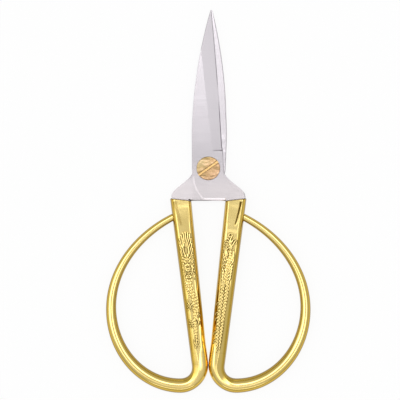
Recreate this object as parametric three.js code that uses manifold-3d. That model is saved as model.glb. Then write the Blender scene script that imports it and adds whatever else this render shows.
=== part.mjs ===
// Tailor scissors with plated cast handles, lying closed on their back.
// Millimetres. +Y runs from the pivot to the tips, +X to the right seen from the front, +Z out of the front.
// The origin is on the pivot axis, in the plane of the screw's end, which the scissors lie on.
// The two halves have one form: the rear half is a front half turned over about Y.

import * as THREE from 'three';
import { mergeVertices } from 'three/addons/utils/BufferGeometryUtils.js';
import Module from 'manifold-3d';

const wasm = await Module();
wasm.setup();

const { lerp, smoothstep, degToRad } = THREE.MathUtils;

// Blades, each measured along its own line from the pivot to the tip
const BLADE_LENGTH = 82.7;
const BLADE_THICKNESS = 2.1;
const BLADE_LEAN = degToRad(1.12); // both blades lean to the right of the handles' middle plane
const BLADE_GAP = 0.1; // running clearance between the two inner faces
const SPINE_AT_PIVOT = 8.55; // spine to pivot axis
const SPINE_AT_BELLY = 9.0;
const SPINE_AT_TIP = 0.45;
const BELLY_Y = 18.3; // the blade is widest here, and the spine curves in from here to the tip
const HEEL_Y = 11.4; // the cutting edge ends here
const EDGE_AT_HEEL = 6.67;
const EDGE_AT_TIP = 0.06;
const EDGE_BOW = 0.35; // the cutting edge swells by this at its middle
const EDGE_LAND = 0.12; // thickness left at the cutting edge
const EDGE_BEVEL_WIDTH = 0.45;
const LEDGE_Y = 9.45; // the ground face ends in a ledge here
const RIDGE_AT_LEDGE = 1.9; // ridge between the flat and the ground face
const RIDGE_TOP_Y = 61.9; // the ridge runs out of the spine here
const GRIND_SLOPE = 0.246; // fall of the ground face from the ridge to the edge
const SPINE_CHAMFER = 0.2;

// Neck and shoulder, where a blade widens to meet its handle
const NECK_EDGE_AT_LEDGE = 7.7;
const NECK_EDGE = 8.1;
const NECK_EDGE_Y = -1.0; // the shoulder flares out from here
const NECK_SPINE = 8.3;
const NECK_SPINE_Y = -4.0; // the spine side curves in from here
const NECK_CURVE_RADIUS = 16.0;
const SHOULDER_REACH = 19.3;
const SHOULDER_REACH_Y = -15.8;
const SHOULDER_FOOT_Y = -16.6;
const SHOULDER_KINK_X = 9.0; // the foot is level up to here and rises along the bar's mouth beyond it
const MOUTH_SLANT = degToRad(6.2);
const FOOT_CHAMFER_WIDTH = 0.9;
const FOOT_CHAMFER_DEPTH = 0.4;
const NECK_CHAMFER = 0.25;
const INNER_CHAMFER_WIDTH = 0.9; // on the side of the neck that shows over the other half
const INNER_CHAMFER_DEPTH = 0.35;

// Tang, cast into the handle's bar and locked by a post through its hole
const TANG_LENGTH = 24.0;
const TANG_ROOT_WIDTH = 6.4;
const TANG_END_WIDTH = 4.4;
const TANG_INSET = 0.15; // the tang is thinned by this on each face
const TANG_ROOT_DEPTH = 4.0; // overlap of the tang into the shoulder
const TANG_HOLE_RADIUS = 1.4;
const TANG_HOLE_DROP = 16.0; // bar's mouth to the hole
const CAST_CLEARANCE = 0.3; // between the steel and the cast metal, also at the mouth

// Handle: a bar, a bend, and a tapering rod that sweeps round to the bar again
const MOUTH_X = 14.4;
const BAR_THICKNESS = 9.0;
const BEND_RADIUS = 10.0;
const HANDLE_GAP = 0.3; // between the two bends when closed
const LOOP_REACH = 50.75; // middle plane to the rod's centre line at the waist
const LOOP_WAIST_Y = -72.9;
const LOOP_DROP = 40.5; // waist to the foot of the loop
const CROWN_WAIST_PULL = 21.5;
const CROWN_JOIN_PULL = 21.1;
const JOIN_DROP = 7.8; // bar's mouth to the rod's upper end, along the bar
const JOIN_DEPTH = 2.6; // the rod's end is sunk this far into the bar's side
const JOIN_HEADING = degToRad(155.0);
const MOUTH_CHAMFER = 0.45;
const MOUTH_FADE = 7.0; // length over which the slant of the mouth turns square to the bar

// Sections of the handle: width in the plane of the loop, thickness across it, width of the flats
const BAR_TOP = { width: 11.0, thickness: BAR_THICKNESS, flat: 6.4 };
const BAR_FOOT = { width: 8.45, thickness: BAR_THICKNESS, flat: 2.8 };
const BEND_MIDDLE = { width: 7.4, thickness: 8.1, flat: 1.4 };
const LOOP_FOOT = { width: 7.65, thickness: 7.65, flat: 0.6 };
const LOOP_WAIST = { width: 5.3, thickness: 5.3, flat: 0.5 };
const LOOP_END = { width: 3.6, thickness: 3.6, flat: 0.4 };

// Thumb facet, ground flat across the top of each bar on both faces
const FACET_CREASE_TOP = 2.2; // the crease starts this far outside the bar's middle, at the mouth
const FACET_CREASE_FOOT = 0.2; // and ends this far outside it, at the facet's foot
const FACET_LENGTH = 13.0;
const FACET_TILT = degToRad(5.0);

// Pivot
const SCREW_HEAD_RADIUS = 6.15;
const SCREW_HEAD_HEIGHT = 2.05;
const SCREW_HEAD_CHAMFER = 0.35;
const SCREW_SHANK_RADIUS = 2.8;
const SCREW_PROUD = 0.1; // the screw's end stands out of the nut by this
const SLOT_WIDTH = 1.45;
const SLOT_DEPTH = 1.0;
const SLOT_HEADING = degToRad(35.0);
const PIVOT_CLEARANCE = 0.06; // radial, round the shank
const SEAT_CLEARANCE = 0.03; // between faces that bear on each other
const SPRING_WASHER_RADIUS = 5.5;
const SPRING_WASHER_SHEET = 0.35;
const SPRING_WASHER_DISH = 0.18;
const REAR_WASHER_RADIUS = 5.8;
const REAR_WASHER_THICKNESS = 0.42;
const NUT_ACROSS_FLATS = 9.0;
const NUT_HEIGHT = 1.77;

// Fineness
const TURNED_SIDES = 48;
const CORNER_STEPS = 4; // facets in a quarter of the handle's section
const BLADE_STEPS = 16;
const NECK_STEPS = 14;
const BAR_STEPS = 4;
const BEND_STEPS = 4; // in each half of the bend
const LOOP_STEPS = 16; // in each half of the loop
const LEDGE_STEP = 0.02; // the ledge falls within this length

// Heights of the stack on the pivot, upward from the screw's end
const NUT_Z = SCREW_PROUD;
const REAR_WASHER_Z = NUT_Z + NUT_HEIGHT + SEAT_CLEARANCE;
const REAR_BLADE_Z = REAR_WASHER_Z + REAR_WASHER_THICKNESS + SEAT_CLEARANCE;
const MIDDLE_Z = REAR_BLADE_Z + BLADE_THICKNESS + BLADE_GAP / 2;
const SPRING_WASHER_Z = MIDDLE_Z + BLADE_GAP / 2 + BLADE_THICKNESS + SEAT_CLEARANCE;
const SCREW_HEAD_Z = SPRING_WASHER_Z + SPRING_WASHER_SHEET + SPRING_WASHER_DISH + SEAT_CLEARANCE;
const BORE_RADIUS = SCREW_SHANK_RADIUS + PIVOT_CLEARANCE;

const STEEL = new THREE.MeshStandardMaterial({ color: 0xd8d5d9, roughness: 0.28, metalness: 1.0 });
const GILT = new THREE.MeshStandardMaterial({ color: 0xeccb78, roughness: 0.16, metalness: 1.0 });
const BRASS = new THREE.MeshStandardMaterial({ color: 0xdcb27a, roughness: 0.3, metalness: 1.0 });
const SPRING_STEEL = new THREE.MeshStandardMaterial({ color: 0xb9b7b6, roughness: 0.35, metalness: 1.0 });

// Solids

function signedVolume(geometry) {
  const place = geometry.attributes.position;
  const [a, b, c] = [new THREE.Vector3(), new THREE.Vector3(), new THREE.Vector3()];
  let volume = 0;
  for (let i = 0; i < geometry.index.count; i += 3) {
    a.fromBufferAttribute(place, geometry.index.getX(i));
    b.fromBufferAttribute(place, geometry.index.getX(i + 1));
    c.fromBufferAttribute(place, geometry.index.getX(i + 2));
    volume += a.dot(b.cross(c)) / 6;
  }
  return volume;
}

// A geometry with shared vertices and its faces pointing out
function closed(geometry) {
  const bare = geometry.clone();
  bare.deleteAttribute('normal');
  bare.deleteAttribute('uv');
  const merged = mergeVertices(bare, 1e-4);
  if (signedVolume(merged) < 0) merged.setIndex([...merged.index.array].reverse());
  return merged;
}

function solid(geometry) {
  const merged = closed(geometry);
  const vertProperties = new Float32Array(merged.attributes.position.array);
  const triVerts = new Uint32Array(merged.index.array);
  return new wasm.Manifold(new wasm.Mesh({ numProp: 3, vertProperties, triVerts }));
}

function shell(body) {
  const { vertProperties, triVerts } = body.getMesh();
  const geometry = new THREE.BufferGeometry();
  geometry.setAttribute('position', new THREE.BufferAttribute(vertProperties, 3));
  geometry.setIndex([...triVerts]);
  geometry.computeVertexNormals();
  return geometry;
}

// A closed skin over rings of equal length, with a fan over each end
function loft(rings) {
  const sides = rings[0].length;
  const middle = (ring) => ring.reduce((sum, p) => sum.add(p), new THREE.Vector3()).divideScalar(sides);
  const points = [...rings.flat(), middle(rings[0]), middle(rings.at(-1))];
  const index = [];
  rings.slice(1).forEach((_, row) => {
    for (let k = 0; k < sides; k++) {
      const next = (k + 1) % sides;
      const [a, b] = [row * sides + k, row * sides + next];
      index.push(a, b, a + sides, b, b + sides, a + sides);
    }
  });
  const last = (rings.length - 1) * sides;
  for (let k = 0; k < sides; k++) {
    const next = (k + 1) % sides;
    index.push(next, k, points.length - 2);
    index.push(last + k, last + next, points.length - 1);
  }
  const geometry = new THREE.BufferGeometry().setFromPoints(points);
  geometry.setIndex(index);
  return closed(geometry);
}

// A round bar about Z, from z = 0 up
function round(radius, height) {
  return new THREE.CylinderGeometry(radius, radius, height, TURNED_SIDES)
    .rotateX(Math.PI / 2)
    .translate(0, 0, height / 2);
}

// A turned solid about Z, from the (radius, height) points of its half section
function turned(profile) {
  const points = profile.map(([radius, height]) => new THREE.Vector2(radius, height));
  return new THREE.LatheGeometry(points, TURNED_SIDES).rotateX(Math.PI / 2);
}

function mesh(name, geometry, material) {
  const node = new THREE.Mesh(geometry, material);
  node.name = name;
  return node;
}

// Blade outline: spine side and edge side, as x at a height y

function spineSide(y) {
  if (y > BELLY_Y) {
    const rise = BLADE_LENGTH - BELLY_Y;
    const drop = SPINE_AT_BELLY - SPINE_AT_TIP;
    const radius = (rise * rise + drop * drop) / (2 * drop);
    return radius - SPINE_AT_BELLY - Math.sqrt(radius * radius - (y - BELLY_Y) ** 2);
  }
  if (y > 0) return -lerp(SPINE_AT_PIVOT, SPINE_AT_BELLY, y / BELLY_Y);
  if (y > NECK_SPINE_Y) return -lerp(SPINE_AT_PIVOT, NECK_SPINE, y / NECK_SPINE_Y);
  const fall = NECK_SPINE_Y - y;
  return NECK_CURVE_RADIUS - NECK_SPINE - Math.sqrt(NECK_CURVE_RADIUS ** 2 - fall * fall);
}

function edgeSide(y, ground) {
  if (y > HEEL_Y) {
    const share = (y - HEEL_Y) / (BLADE_LENGTH - HEEL_Y);
    return lerp(EDGE_AT_HEEL, EDGE_AT_TIP, share) + 4 * EDGE_BOW * share * (1 - share);
  }
  if (ground) return lerp(NECK_EDGE_AT_LEDGE, EDGE_AT_HEEL, (y - LEDGE_Y) / (HEEL_Y - LEDGE_Y));
  const up = y - NECK_EDGE_Y;
  if (up > 0) return lerp(NECK_EDGE, NECK_EDGE_AT_LEDGE, up / (LEDGE_Y - NECK_EDGE_Y));
  return lerp(NECK_EDGE, SHOULDER_REACH, smoothstep(-up, 0, NECK_EDGE_Y - SHOULDER_REACH_Y));
}

function ridge(y) {
  return lerp(RIDGE_AT_LEDGE, spineSide(RIDGE_TOP_Y), (y - LEDGE_Y) / (RIDGE_TOP_Y - LEDGE_Y));
}

// Outer face of the ground blade: flat up to the ridge, then falling to the cutting edge
function groundHeight(x, y) {
  return BLADE_THICKNESS - GRIND_SLOPE * Math.max(0, x - ridge(y));
}

// Section of the ground blade at y, inner face at z = 0
function bladeRing(y, lean) {
  const [left, right] = [spineSide(y), edgeSide(y, true)];
  const width = right - left;
  const bevel = Math.min(EDGE_BEVEL_WIDTH, width / 3);
  const chamfer = Math.min(SPINE_CHAMFER, width / 6);
  const crest = Math.max(ridge(y), left + 2 * chamfer);
  const land = Math.min(EDGE_LAND, groundHeight(right, y) / 2);
  const outline = [
    [left, 0],
    [(left + right) / 2, 0],
    [right, 0],
    [right, land],
    [right - bevel, groundHeight(right - bevel, y)],
    [crest, groundHeight(crest, y)],
    [left + chamfer, groundHeight(left + chamfer, y)],
    [left, groundHeight(left, y) - chamfer],
  ];
  return outline.map(([x, z]) => new THREE.Vector3(x + Math.tan(lean) * y, y, z));
}

// Section of the neck and shoulder at y, whose foot follows the slant of the bar's mouth
function neckRing(y, lean, thickness) {
  const [left, right] = [spineSide(y), edgeSide(y, false)];
  const kink = lerp(RIDGE_AT_LEDGE, SHOULDER_KINK_X, smoothstep(LEDGE_Y - y, 0, LEDGE_Y - SHOULDER_FOOT_Y));
  const inward = smoothstep(-y, 0, -NECK_SPINE_Y);
  const chamferWidth = lerp(SPINE_CHAMFER, INNER_CHAMFER_WIDTH, inward);
  const chamferDepth = lerp(SPINE_CHAMFER, INNER_CHAMFER_DEPTH, inward);
  const outline = [
    [left, 0],
    [kink, 0],
    [right, 0],
    [right, thickness - NECK_CHAMFER],
    [right - NECK_CHAMFER, thickness],
    [kink, thickness],
    [left + chamferWidth, thickness],
    [left, thickness - chamferDepth],
  ];
  const slant = Math.tan(MOUTH_SLANT) * smoothstep(NECK_EDGE_Y - y, 0, NECK_EDGE_Y - SHOULDER_REACH_Y);
  return outline.map(([x, z]) => {
    const rise = slant * Math.max(0, x - SHOULDER_KINK_X);
    return new THREE.Vector3(x + Math.tan(lean) * Math.max(0, y), y + rise, z);
  });
}

// Bar frame: u outward from the bar's middle, s down the bar from its mouth

const MOUTH_Y = SHOULDER_FOOT_Y + Math.tan(MOUTH_SLANT) * (MOUTH_X - SHOULDER_KINK_X)
  - CAST_CLEARANCE / Math.cos(MOUTH_SLANT);
const BEND_X = HANDLE_GAP / 2 + BAR_FOOT.width / 2 + BEND_RADIUS;
const BEND_Y = LOOP_WAIST_Y - LOOP_DROP + BEND_RADIUS;
const MOUTH_TO_BEND = Math.hypot(BEND_X - MOUTH_X, BEND_Y - MOUTH_Y);
const BAR_LEAN = Math.asin(BEND_RADIUS / MOUTH_TO_BEND) - Math.atan2(BEND_X - MOUTH_X, MOUTH_Y - BEND_Y);
const BAR_LENGTH = Math.sqrt(MOUTH_TO_BEND ** 2 - BEND_RADIUS ** 2);

function barPoint(u, s) {
  const [sin, cos] = [Math.sin(BAR_LEAN), Math.cos(BAR_LEAN)];
  return new THREE.Vector2(MOUTH_X + u * cos - s * sin, MOUTH_Y - u * sin - s * cos);
}

// The tang's outline in the plane of the blade, grown by a clearance
function tangShape(clearance) {
  const root = TANG_ROOT_WIDTH / 2 + clearance;
  const end = TANG_END_WIDTH / 2 + clearance;
  const foot = TANG_LENGTH + clearance;
  const corners = [[-root, -TANG_ROOT_DEPTH], [-end, foot], [end, foot], [root, -TANG_ROOT_DEPTH]];
  return new THREE.Shape(corners.map(([u, s]) => barPoint(u, s)));
}

function tang(clearance) {
  const depth = BLADE_THICKNESS - 2 * TANG_INSET + 2 * clearance;
  return new THREE.ExtrudeGeometry(tangShape(clearance), { depth, bevelEnabled: false })
    .translate(0, 0, TANG_INSET - clearance);
}

// A round bar through the tang, as a hole in the steel or a post of the casting
function tangLock(radius) {
  const place = barPoint(0, TANG_HOLE_DROP);
  return round(radius, 2 * BAR_THICKNESS).translate(place.x, place.y, -BAR_THICKNESS);
}

// A blade with its neck, shoulder and tang, inner face at z = 0
function blade(lean) {
  const rings = [];
  for (let i = 0; i <= BLADE_STEPS; i++) {
    const share = i / BLADE_STEPS;
    rings.push(bladeRing(lerp(BLADE_LENGTH, HEEL_Y, share), lean));
  }
  rings.push(bladeRing(LEDGE_Y + LEDGE_STEP, lean));
  for (let i = 0; i <= NECK_STEPS; i++) {
    const y = lerp(LEDGE_Y, SHOULDER_FOOT_Y + FOOT_CHAMFER_WIDTH, i / NECK_STEPS);
    rings.push(neckRing(y, lean, BLADE_THICKNESS));
  }
  rings.push(neckRing(SHOULDER_FOOT_Y, lean, BLADE_THICKNESS - FOOT_CHAMFER_DEPTH));
  const bore = round(BORE_RADIUS, 3 * BLADE_THICKNESS).translate(0, 0, -BLADE_THICKNESS);
  const body = solid(loft(rings))
    .add(solid(tang(0)))
    .subtract(solid(bore))
    .subtract(solid(tangLock(TANG_HOLE_RADIUS)));
  return shell(body);
}

// An oval section with flats, at a point of the handle's centre line
function handleRing(place, heading, section, skew) {
  const flat = section.flat / 2;
  const corner = section.width / 2 - flat;
  const outward = new THREE.Vector2(-heading.y, heading.x);
  const ring = [];
  for (let quarter = 0; quarter < 4; quarter++) {
    for (let k = 0; k <= CORNER_STEPS; k++) {
      const turn = (quarter + k / CORNER_STEPS) * Math.PI / 2;
      const side = quarter === 0 || quarter === 3 ? 1 : -1;
      const u = side * flat + corner * Math.cos(turn);
      const repeated = (quarter === 2 && k === 0) || (quarter === 3 && k === CORNER_STEPS);
      if (repeated) continue;
      const z = section.thickness / 2 * Math.sin(turn);
      const along = -skew * u;
      const x = place.x + u * outward.x + along * heading.x;
      const y = place.y + u * outward.y + along * heading.y;
      ring.push(new THREE.Vector3(x, y, z));
    }
  }
  return ring;
}

function sectionBetween(from, to, share) {
  return {
    width: lerp(from.width, to.width, share),
    thickness: lerp(from.thickness, to.thickness, share),
    flat: lerp(from.flat, to.flat, share),
  };
}

// Rings along one piece of the centre line, between two sections
function handleRings(curve, steps, from, to, first = 0) {
  const rings = [];
  for (let i = first; i <= steps; i++) {
    const share = i / steps;
    const section = sectionBetween(from, to, share);
    rings.push(handleRing(curve.getPointAt(share), curve.getTangentAt(share), section, 0));
  }
  return rings;
}

// The bar's rings: a chamfered slanted mouth that turns square further down
function barRings() {
  const heading = barPoint(0, 1).sub(barPoint(0, 0));
  const slant = Math.tan(MOUTH_SLANT + BAR_LEAN);
  const mouth = { ...BAR_TOP, width: BAR_TOP.width - 2 * MOUTH_CHAMFER };
  mouth.thickness = BAR_TOP.thickness - 2 * MOUTH_CHAMFER;
  const rings = [handleRing(barPoint(0, 0), heading, mouth, slant)];
  const stops = [MOUTH_CHAMFER, MOUTH_FADE / 2];
  for (let i = 0; i < BAR_STEPS; i++) stops.push(lerp(MOUTH_FADE, BAR_LENGTH, i / BAR_STEPS));
  stops.forEach((s) => {
    const skew = slant * (1 - smoothstep(s, MOUTH_CHAMFER, MOUTH_FADE));
    rings.push(handleRing(barPoint(0, s), heading, sectionBetween(BAR_TOP, BAR_FOOT, s / BAR_LENGTH), skew));
  });
  return rings;
}

// A box that lies on the facet's plane and covers what the facet takes off the front of the bar
function facetCutter() {
  const top = barPoint(FACET_CREASE_TOP, 0);
  const foot = barPoint(FACET_CREASE_FOOT, FACET_LENGTH);
  const down = new THREE.Vector3(foot.x - top.x, foot.y - top.y, 0).normalize();
  const inward = new THREE.Vector3(down.y, -down.x, 0)
    .multiplyScalar(Math.cos(FACET_TILT))
    .setZ(-Math.sin(FACET_TILT));
  const outOfFace = new THREE.Vector3().crossVectors(down, inward);
  const [length, reach, height] = [2 * FACET_LENGTH, 2 * BAR_TOP.width, BAR_THICKNESS];
  const basis = new THREE.Matrix4().makeBasis(down, inward, outOfFace.multiplyScalar(Math.sign(outOfFace.z)));
  basis.setPosition(top.x, top.y, BAR_THICKNESS / 2);
  return new THREE.BoxGeometry(length, reach, height).translate(0, reach / 2, height / 2).applyMatrix4(basis);
}

// A handle about the middle plane z = 0, with the socket of a tang above that plane
function handle() {
  const bendStart = Math.PI - BAR_LEAN;
  const bendEnd = 1.5 * Math.PI;
  const bendHalf = (bendStart + bendEnd) / 2;
  const bendIn = new THREE.EllipseCurve(BEND_X, BEND_Y, BEND_RADIUS, BEND_RADIUS, bendStart, bendHalf);
  const bendOut = new THREE.EllipseCurve(BEND_X, BEND_Y, BEND_RADIUS, BEND_RADIUS, bendHalf, bendEnd);
  const sweep = new THREE.EllipseCurve(
    BEND_X, LOOP_WAIST_Y, LOOP_REACH - BEND_X, LOOP_DROP, bendEnd, 2 * Math.PI);
  const joinWidth = lerp(BAR_TOP.width, BAR_FOOT.width, JOIN_DROP / BAR_LENGTH);
  const join = barPoint(joinWidth / 2 - JOIN_DEPTH, JOIN_DROP);
  const pull = new THREE.Vector2(-CROWN_JOIN_PULL, 0).rotateAround(new THREE.Vector2(), JOIN_HEADING);
  const crown = new THREE.CubicBezierCurve(
    new THREE.Vector2(LOOP_REACH, LOOP_WAIST_Y),
    new THREE.Vector2(LOOP_REACH, LOOP_WAIST_Y + CROWN_WAIST_PULL),
    join.clone().add(pull),
    join);
  const lower = [
    ...barRings(),
    ...handleRings(bendIn, BEND_STEPS, BAR_FOOT, BEND_MIDDLE),
    ...handleRings(bendOut, BEND_STEPS, BEND_MIDDLE, LOOP_FOOT, 1),
    ...handleRings(sweep, LOOP_STEPS, LOOP_FOOT, LOOP_WAIST, 1),
  ];
  const socket = solid(tang(CAST_CLEARANCE)).subtract(solid(tangLock(TANG_HOLE_RADIUS - CAST_CLEARANCE)));
  const facet = facetCutter();
  const body = solid(loft(lower))
    .add(solid(loft(handleRings(crown, LOOP_STEPS, LOOP_WAIST, LOOP_END))))
    .subtract(socket.translate([0, 0, BLADE_GAP / 2]))
    .subtract(solid(facet))
    .subtract(solid(facet.clone().scale(1, 1, -1)));
  return shell(body);
}

// One half: a blade above the middle plane and the handle round its tang
function half(names, lean) {
  const group = new THREE.Group();
  const steel = mesh(names.blade, blade(lean), STEEL);
  steel.position.z = BLADE_GAP / 2;
  group.add(steel, mesh(names.handle, handle(), GILT));
  group.position.z = MIDDLE_Z;
  return group;
}

// Pivot hardware

function pivotScrew() {
  const [rim, top] = [SCREW_HEAD_RADIUS - SCREW_HEAD_CHAMFER, SCREW_HEAD_Z + SCREW_HEAD_HEIGHT];
  const body = turned([
    [0, 0],
    [SCREW_SHANK_RADIUS, 0],
    [SCREW_SHANK_RADIUS, SCREW_HEAD_Z],
    [SCREW_HEAD_RADIUS, SCREW_HEAD_Z],
    [SCREW_HEAD_RADIUS, top - SCREW_HEAD_CHAMFER],
    [rim, top],
    [0, top],
  ]);
  const slot = new THREE.BoxGeometry(3 * SCREW_HEAD_RADIUS, SLOT_WIDTH, 2 * SLOT_DEPTH)
    .rotateZ(SLOT_HEADING)
    .translate(0, 0, top);
  return shell(solid(body).subtract(solid(slot)));
}

// Dished so that its outer rim bears on the blade and its inner rim on the screw's head
function springWasher() {
  const [low, high] = [SPRING_WASHER_Z, SPRING_WASHER_Z + SPRING_WASHER_DISH];
  return closed(turned([
    [BORE_RADIUS, high],
    [SPRING_WASHER_RADIUS, low],
    [SPRING_WASHER_RADIUS, low + SPRING_WASHER_SHEET],
    [BORE_RADIUS, high + SPRING_WASHER_SHEET],
    [BORE_RADIUS, high],
  ]));
}

function rearWasher() {
  const top = REAR_WASHER_Z + REAR_WASHER_THICKNESS;
  return closed(turned([
    [BORE_RADIUS, REAR_WASHER_Z],
    [REAR_WASHER_RADIUS, REAR_WASHER_Z],
    [REAR_WASHER_RADIUS, top],
    [BORE_RADIUS, top],
    [BORE_RADIUS, REAR_WASHER_Z],
  ]));
}

function lockNut() {
  const corner = NUT_ACROSS_FLATS / 2 / Math.cos(Math.PI / 6);
  const hexagon = new THREE.CylinderGeometry(corner, corner, NUT_HEIGHT, 6)
    .rotateX(Math.PI / 2)
    .translate(0, 0, NUT_Z + NUT_HEIGHT / 2);
  return shell(solid(hexagon).subtract(solid(round(BORE_RADIUS, 2 * MIDDLE_Z))));
}

const scissors = new THREE.Group();
const frontHalf = half({ blade: 'front_blade', handle: 'right_handle' }, BLADE_LEAN);
const rearHalf = half({ blade: 'rear_blade', handle: 'left_handle' }, -BLADE_LEAN);
rearHalf.rotation.y = Math.PI;
scissors.add(
  frontHalf,
  rearHalf,
  mesh('pivot_screw', pivotScrew(), BRASS),
  mesh('spring_washer', springWasher(), SPRING_STEEL),
  mesh('rear_washer', rearWasher(), BRASS),
  mesh('lock_nut', lockNut(), BRASS),
);

export default scissors;
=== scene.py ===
import math

import bpy
import numpy as np
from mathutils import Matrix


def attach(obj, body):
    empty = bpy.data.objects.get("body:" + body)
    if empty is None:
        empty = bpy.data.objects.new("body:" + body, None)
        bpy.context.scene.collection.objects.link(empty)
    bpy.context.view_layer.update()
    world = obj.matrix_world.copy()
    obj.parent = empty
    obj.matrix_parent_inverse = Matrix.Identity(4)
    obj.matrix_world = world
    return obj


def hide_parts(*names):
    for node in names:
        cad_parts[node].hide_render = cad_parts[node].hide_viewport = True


# Tailor scissors: satin steel blades, a turned brass pivot screw and gilt cast handles with a dragon and a phoenix
# in relief. Sizes are in millimetres, in the part's own frame, and become metres when a mesh is made.

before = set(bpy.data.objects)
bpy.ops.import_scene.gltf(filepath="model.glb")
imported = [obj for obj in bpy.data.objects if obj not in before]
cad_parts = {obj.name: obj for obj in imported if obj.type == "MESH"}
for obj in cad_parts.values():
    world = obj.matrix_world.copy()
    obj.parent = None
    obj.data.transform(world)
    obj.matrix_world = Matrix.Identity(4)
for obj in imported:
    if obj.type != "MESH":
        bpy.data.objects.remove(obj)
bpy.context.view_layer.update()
MM = 0.001

# Blades
BLADE_LENGTH = 82.7
BLADE_THICKNESS = 2.1
BLADE_LEAN = math.radians(1.12)
BLADE_GAP = 0.1
SPINE_AT_PIVOT = 8.55
SPINE_AT_BELLY = 9.0
SPINE_AT_TIP = 0.45
BELLY_Y = 18.3
HEEL_Y = 11.4
EDGE_AT_HEEL = 6.9
EDGE_AT_TIP = 0.06
EDGE_BOW = 0.35
EDGE_LAND = 0.12
EDGE_BEVEL_WIDTH = 0.45
LEDGE_Y = 9.45
LEDGE_WALL = 0.2  # length over which the ledge falls
LEDGE_BREAK = 0.4  # length of the broken corner above it
LEDGE_BREAK_SHARE = 0.5  # of the ledge's height
LEDGE_RUN_OUT = 1.2  # both narrow over this length at the ridge
LEDGE_MEET = 0.95  # by this share, which keeps the rows of points apart on the flat
RIDGE_AT_LEDGE = 1.9
RIDGE_TOP_Y = 61.9
GRIND_SLOPE = 0.246
SPINE_CHAMFER = 0.2
BLADE_ARRIS = 2.5  # degrees past which two ground faces meet in a crisp line
INNER_RIM_WIDTH = 0.4  # broken corner of the spine on the inner face
INNER_RIM_DEPTH = 0.14
INNER_LAND_UNDER = 0.3  # the inner face's nearly flat strip reaches this far under the other blade's edge
INNER_LAND_SLOPE = math.tan(math.radians(1.8))
INNER_LAND_HEEL_SLOPE = math.tan(math.radians(2.8))
LAND_Y = (-6.0, 0.0)  # its fall comes in over these heights
LAND_SLOPE_Y = (10.0, 38.0)  # and its slope goes from the heel's to the blade's over these
LEAST_LAND = 0.3  # of the broken corner's width
MOST_LAND = 0.6  # of the blade's width
HOLLOW = 0.4  # the rest of the inner face is ground hollow by this
HOLLOW_RUN_IN = 8.0  # which comes in over this length above the heel
HOLLOW_POINTS = 20
TIP_SECTIONS, GROUND_SECTIONS, HEEL_SECTIONS, NECK_SECTIONS, SHOULDER_SECTIONS = 40, 90, 8, 16, 60
GROUND_SHARES = (*np.linspace(0.0, 0.98, 9), 1.0)  # places of points on the way from the edge to the ridge
FLAT_SHARES = np.linspace(0.1, 1.0, 9)  # and from the ridge to the spine
FULL_WIDTH = 10.0  # a narrower blade is ground less, by its share of this
BREAK_SHARE = 1 / 6  # of the width, the most that a broken corner takes
BEVEL_SHARE = 1 / 3  # of the width, the most that the edge's bevel takes

# Neck and shoulder
NECK_EDGE_AT_LEDGE = 7.45
NECK_EDGE = 8.1
NECK_EDGE_Y = -1.0
NECK_SPINE = 8.3
NECK_SPINE_Y = -4.0
NECK_CURVE_RADIUS = 16.0
SHOULDER_REACH = 19.3
SHOULDER_REACH_Y = -15.8
SHOULDER_FOOT_Y = -16.6
SHOULDER_KINK_X = 9.0
MOUTH_SLANT = math.radians(6.2)
FOOT_CHAMFER_WIDTH = 0.85
FOOT_CHAMFER_DEPTH = 0.40
FOOT_CHAMFER_END = 0.15  # length over which the chamfer runs out at the handle
FOOT_BREAK_WIDTH = 0.6
FOOT_BREAK_DEPTH = 0.5
FOOT_SAG = 0.35  # the foot hangs this much lower between the handles
FOOT_SAG_START = 0.2  # and less from this far before its kink
FOOT_SAG_FADE = 1.2  # to this far beyond it
INNER_BREAK_REACH = 0.8  # the foot's break on the inner face goes on this far past the handle's corner
NECK_CHAMFER_WIDTH = 0.34
NECK_CHAMFER_DEPTH = 0.28
REAR_SPINE_OUT = 0.45  # the rear blade's spine stands out this much more beside the pivot
SPINE_OUT_START = (-5.0, -1.0)  # coming in over these heights
SPINE_OUT_END = (12.0, 30.0)  # and fading out over these
SHOULDER_FALL = 0.032  # slope of the inner face's shoulder
SHOULDER_FALL_START = 7.4  # outward of this x
SHOULDER_FALL_Y = (-6.0, -2.0)  # and below these heights
INNER_CHAMFER_WIDTH = 1.1
INNER_CHAMFER_DEPTH = 0.053
INNER_CHAMFER_START = 1.2  # the spine's chamfer narrows out over this length, and this one comes in
LEAST_CHAMFER = 0.02

# Tang and its socket
TANG_LENGTH = 24.0
TANG_ROOT_WIDTH = 6.4
TANG_END_WIDTH = 4.4
TANG_INSET = 0.15
TANG_ROOT_DEPTH = 4.0
CAST_CLEARANCE = 0.3

# Handles
MOUTH_X = 14.4
BAR_THICKNESS = 9.0
BEND_RADIUS = 10.0
HANDLE_GAP = 0.3
LOOP_REACH = 50.75
LOOP_WAIST_Y = -72.9
LOOP_DROP = 40.5
CROWN_WAIST_PULL = 21.5
CROWN_JOIN_PULL = 21.1
JOIN_DROP = 7.8
JOIN_DEPTH = 2.6
JOIN_HEADING = math.radians(155.0)
INNER_SWELL = 0.255  # of the two bars towards each other where they all but touch
SWELL_FADE = (3.0, 12.0)  # fading out over these lengths from the bar's end
MOUTH_ROUND = 0.45
MOUTH_FADE = 7.0
BAR_TOP = (11.0, BAR_THICKNESS, 6.4)  # width, thickness, width of the flats
BAR_FOOT = (8.45, BAR_THICKNESS, 2.8)
BEND_MIDDLE = (7.4, 8.1, 1.4)
LOOP_FOOT = (7.65, 7.65, 0.6)
LOOP_WAIST = (5.3, 5.3, 0.5)
LOOP_END = (3.6, 3.6, 0.4)
LINE_POINTS = 1500  # on each piece of the centre line
LINE_EASE = 1.6  # its corners are eased over this, but not on the bar or where the loop joins it
EASE_START, EASE_FULL = 8.0, 4.0
SECTION_EASE = 3.0
EASE_STEPS = 9
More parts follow.
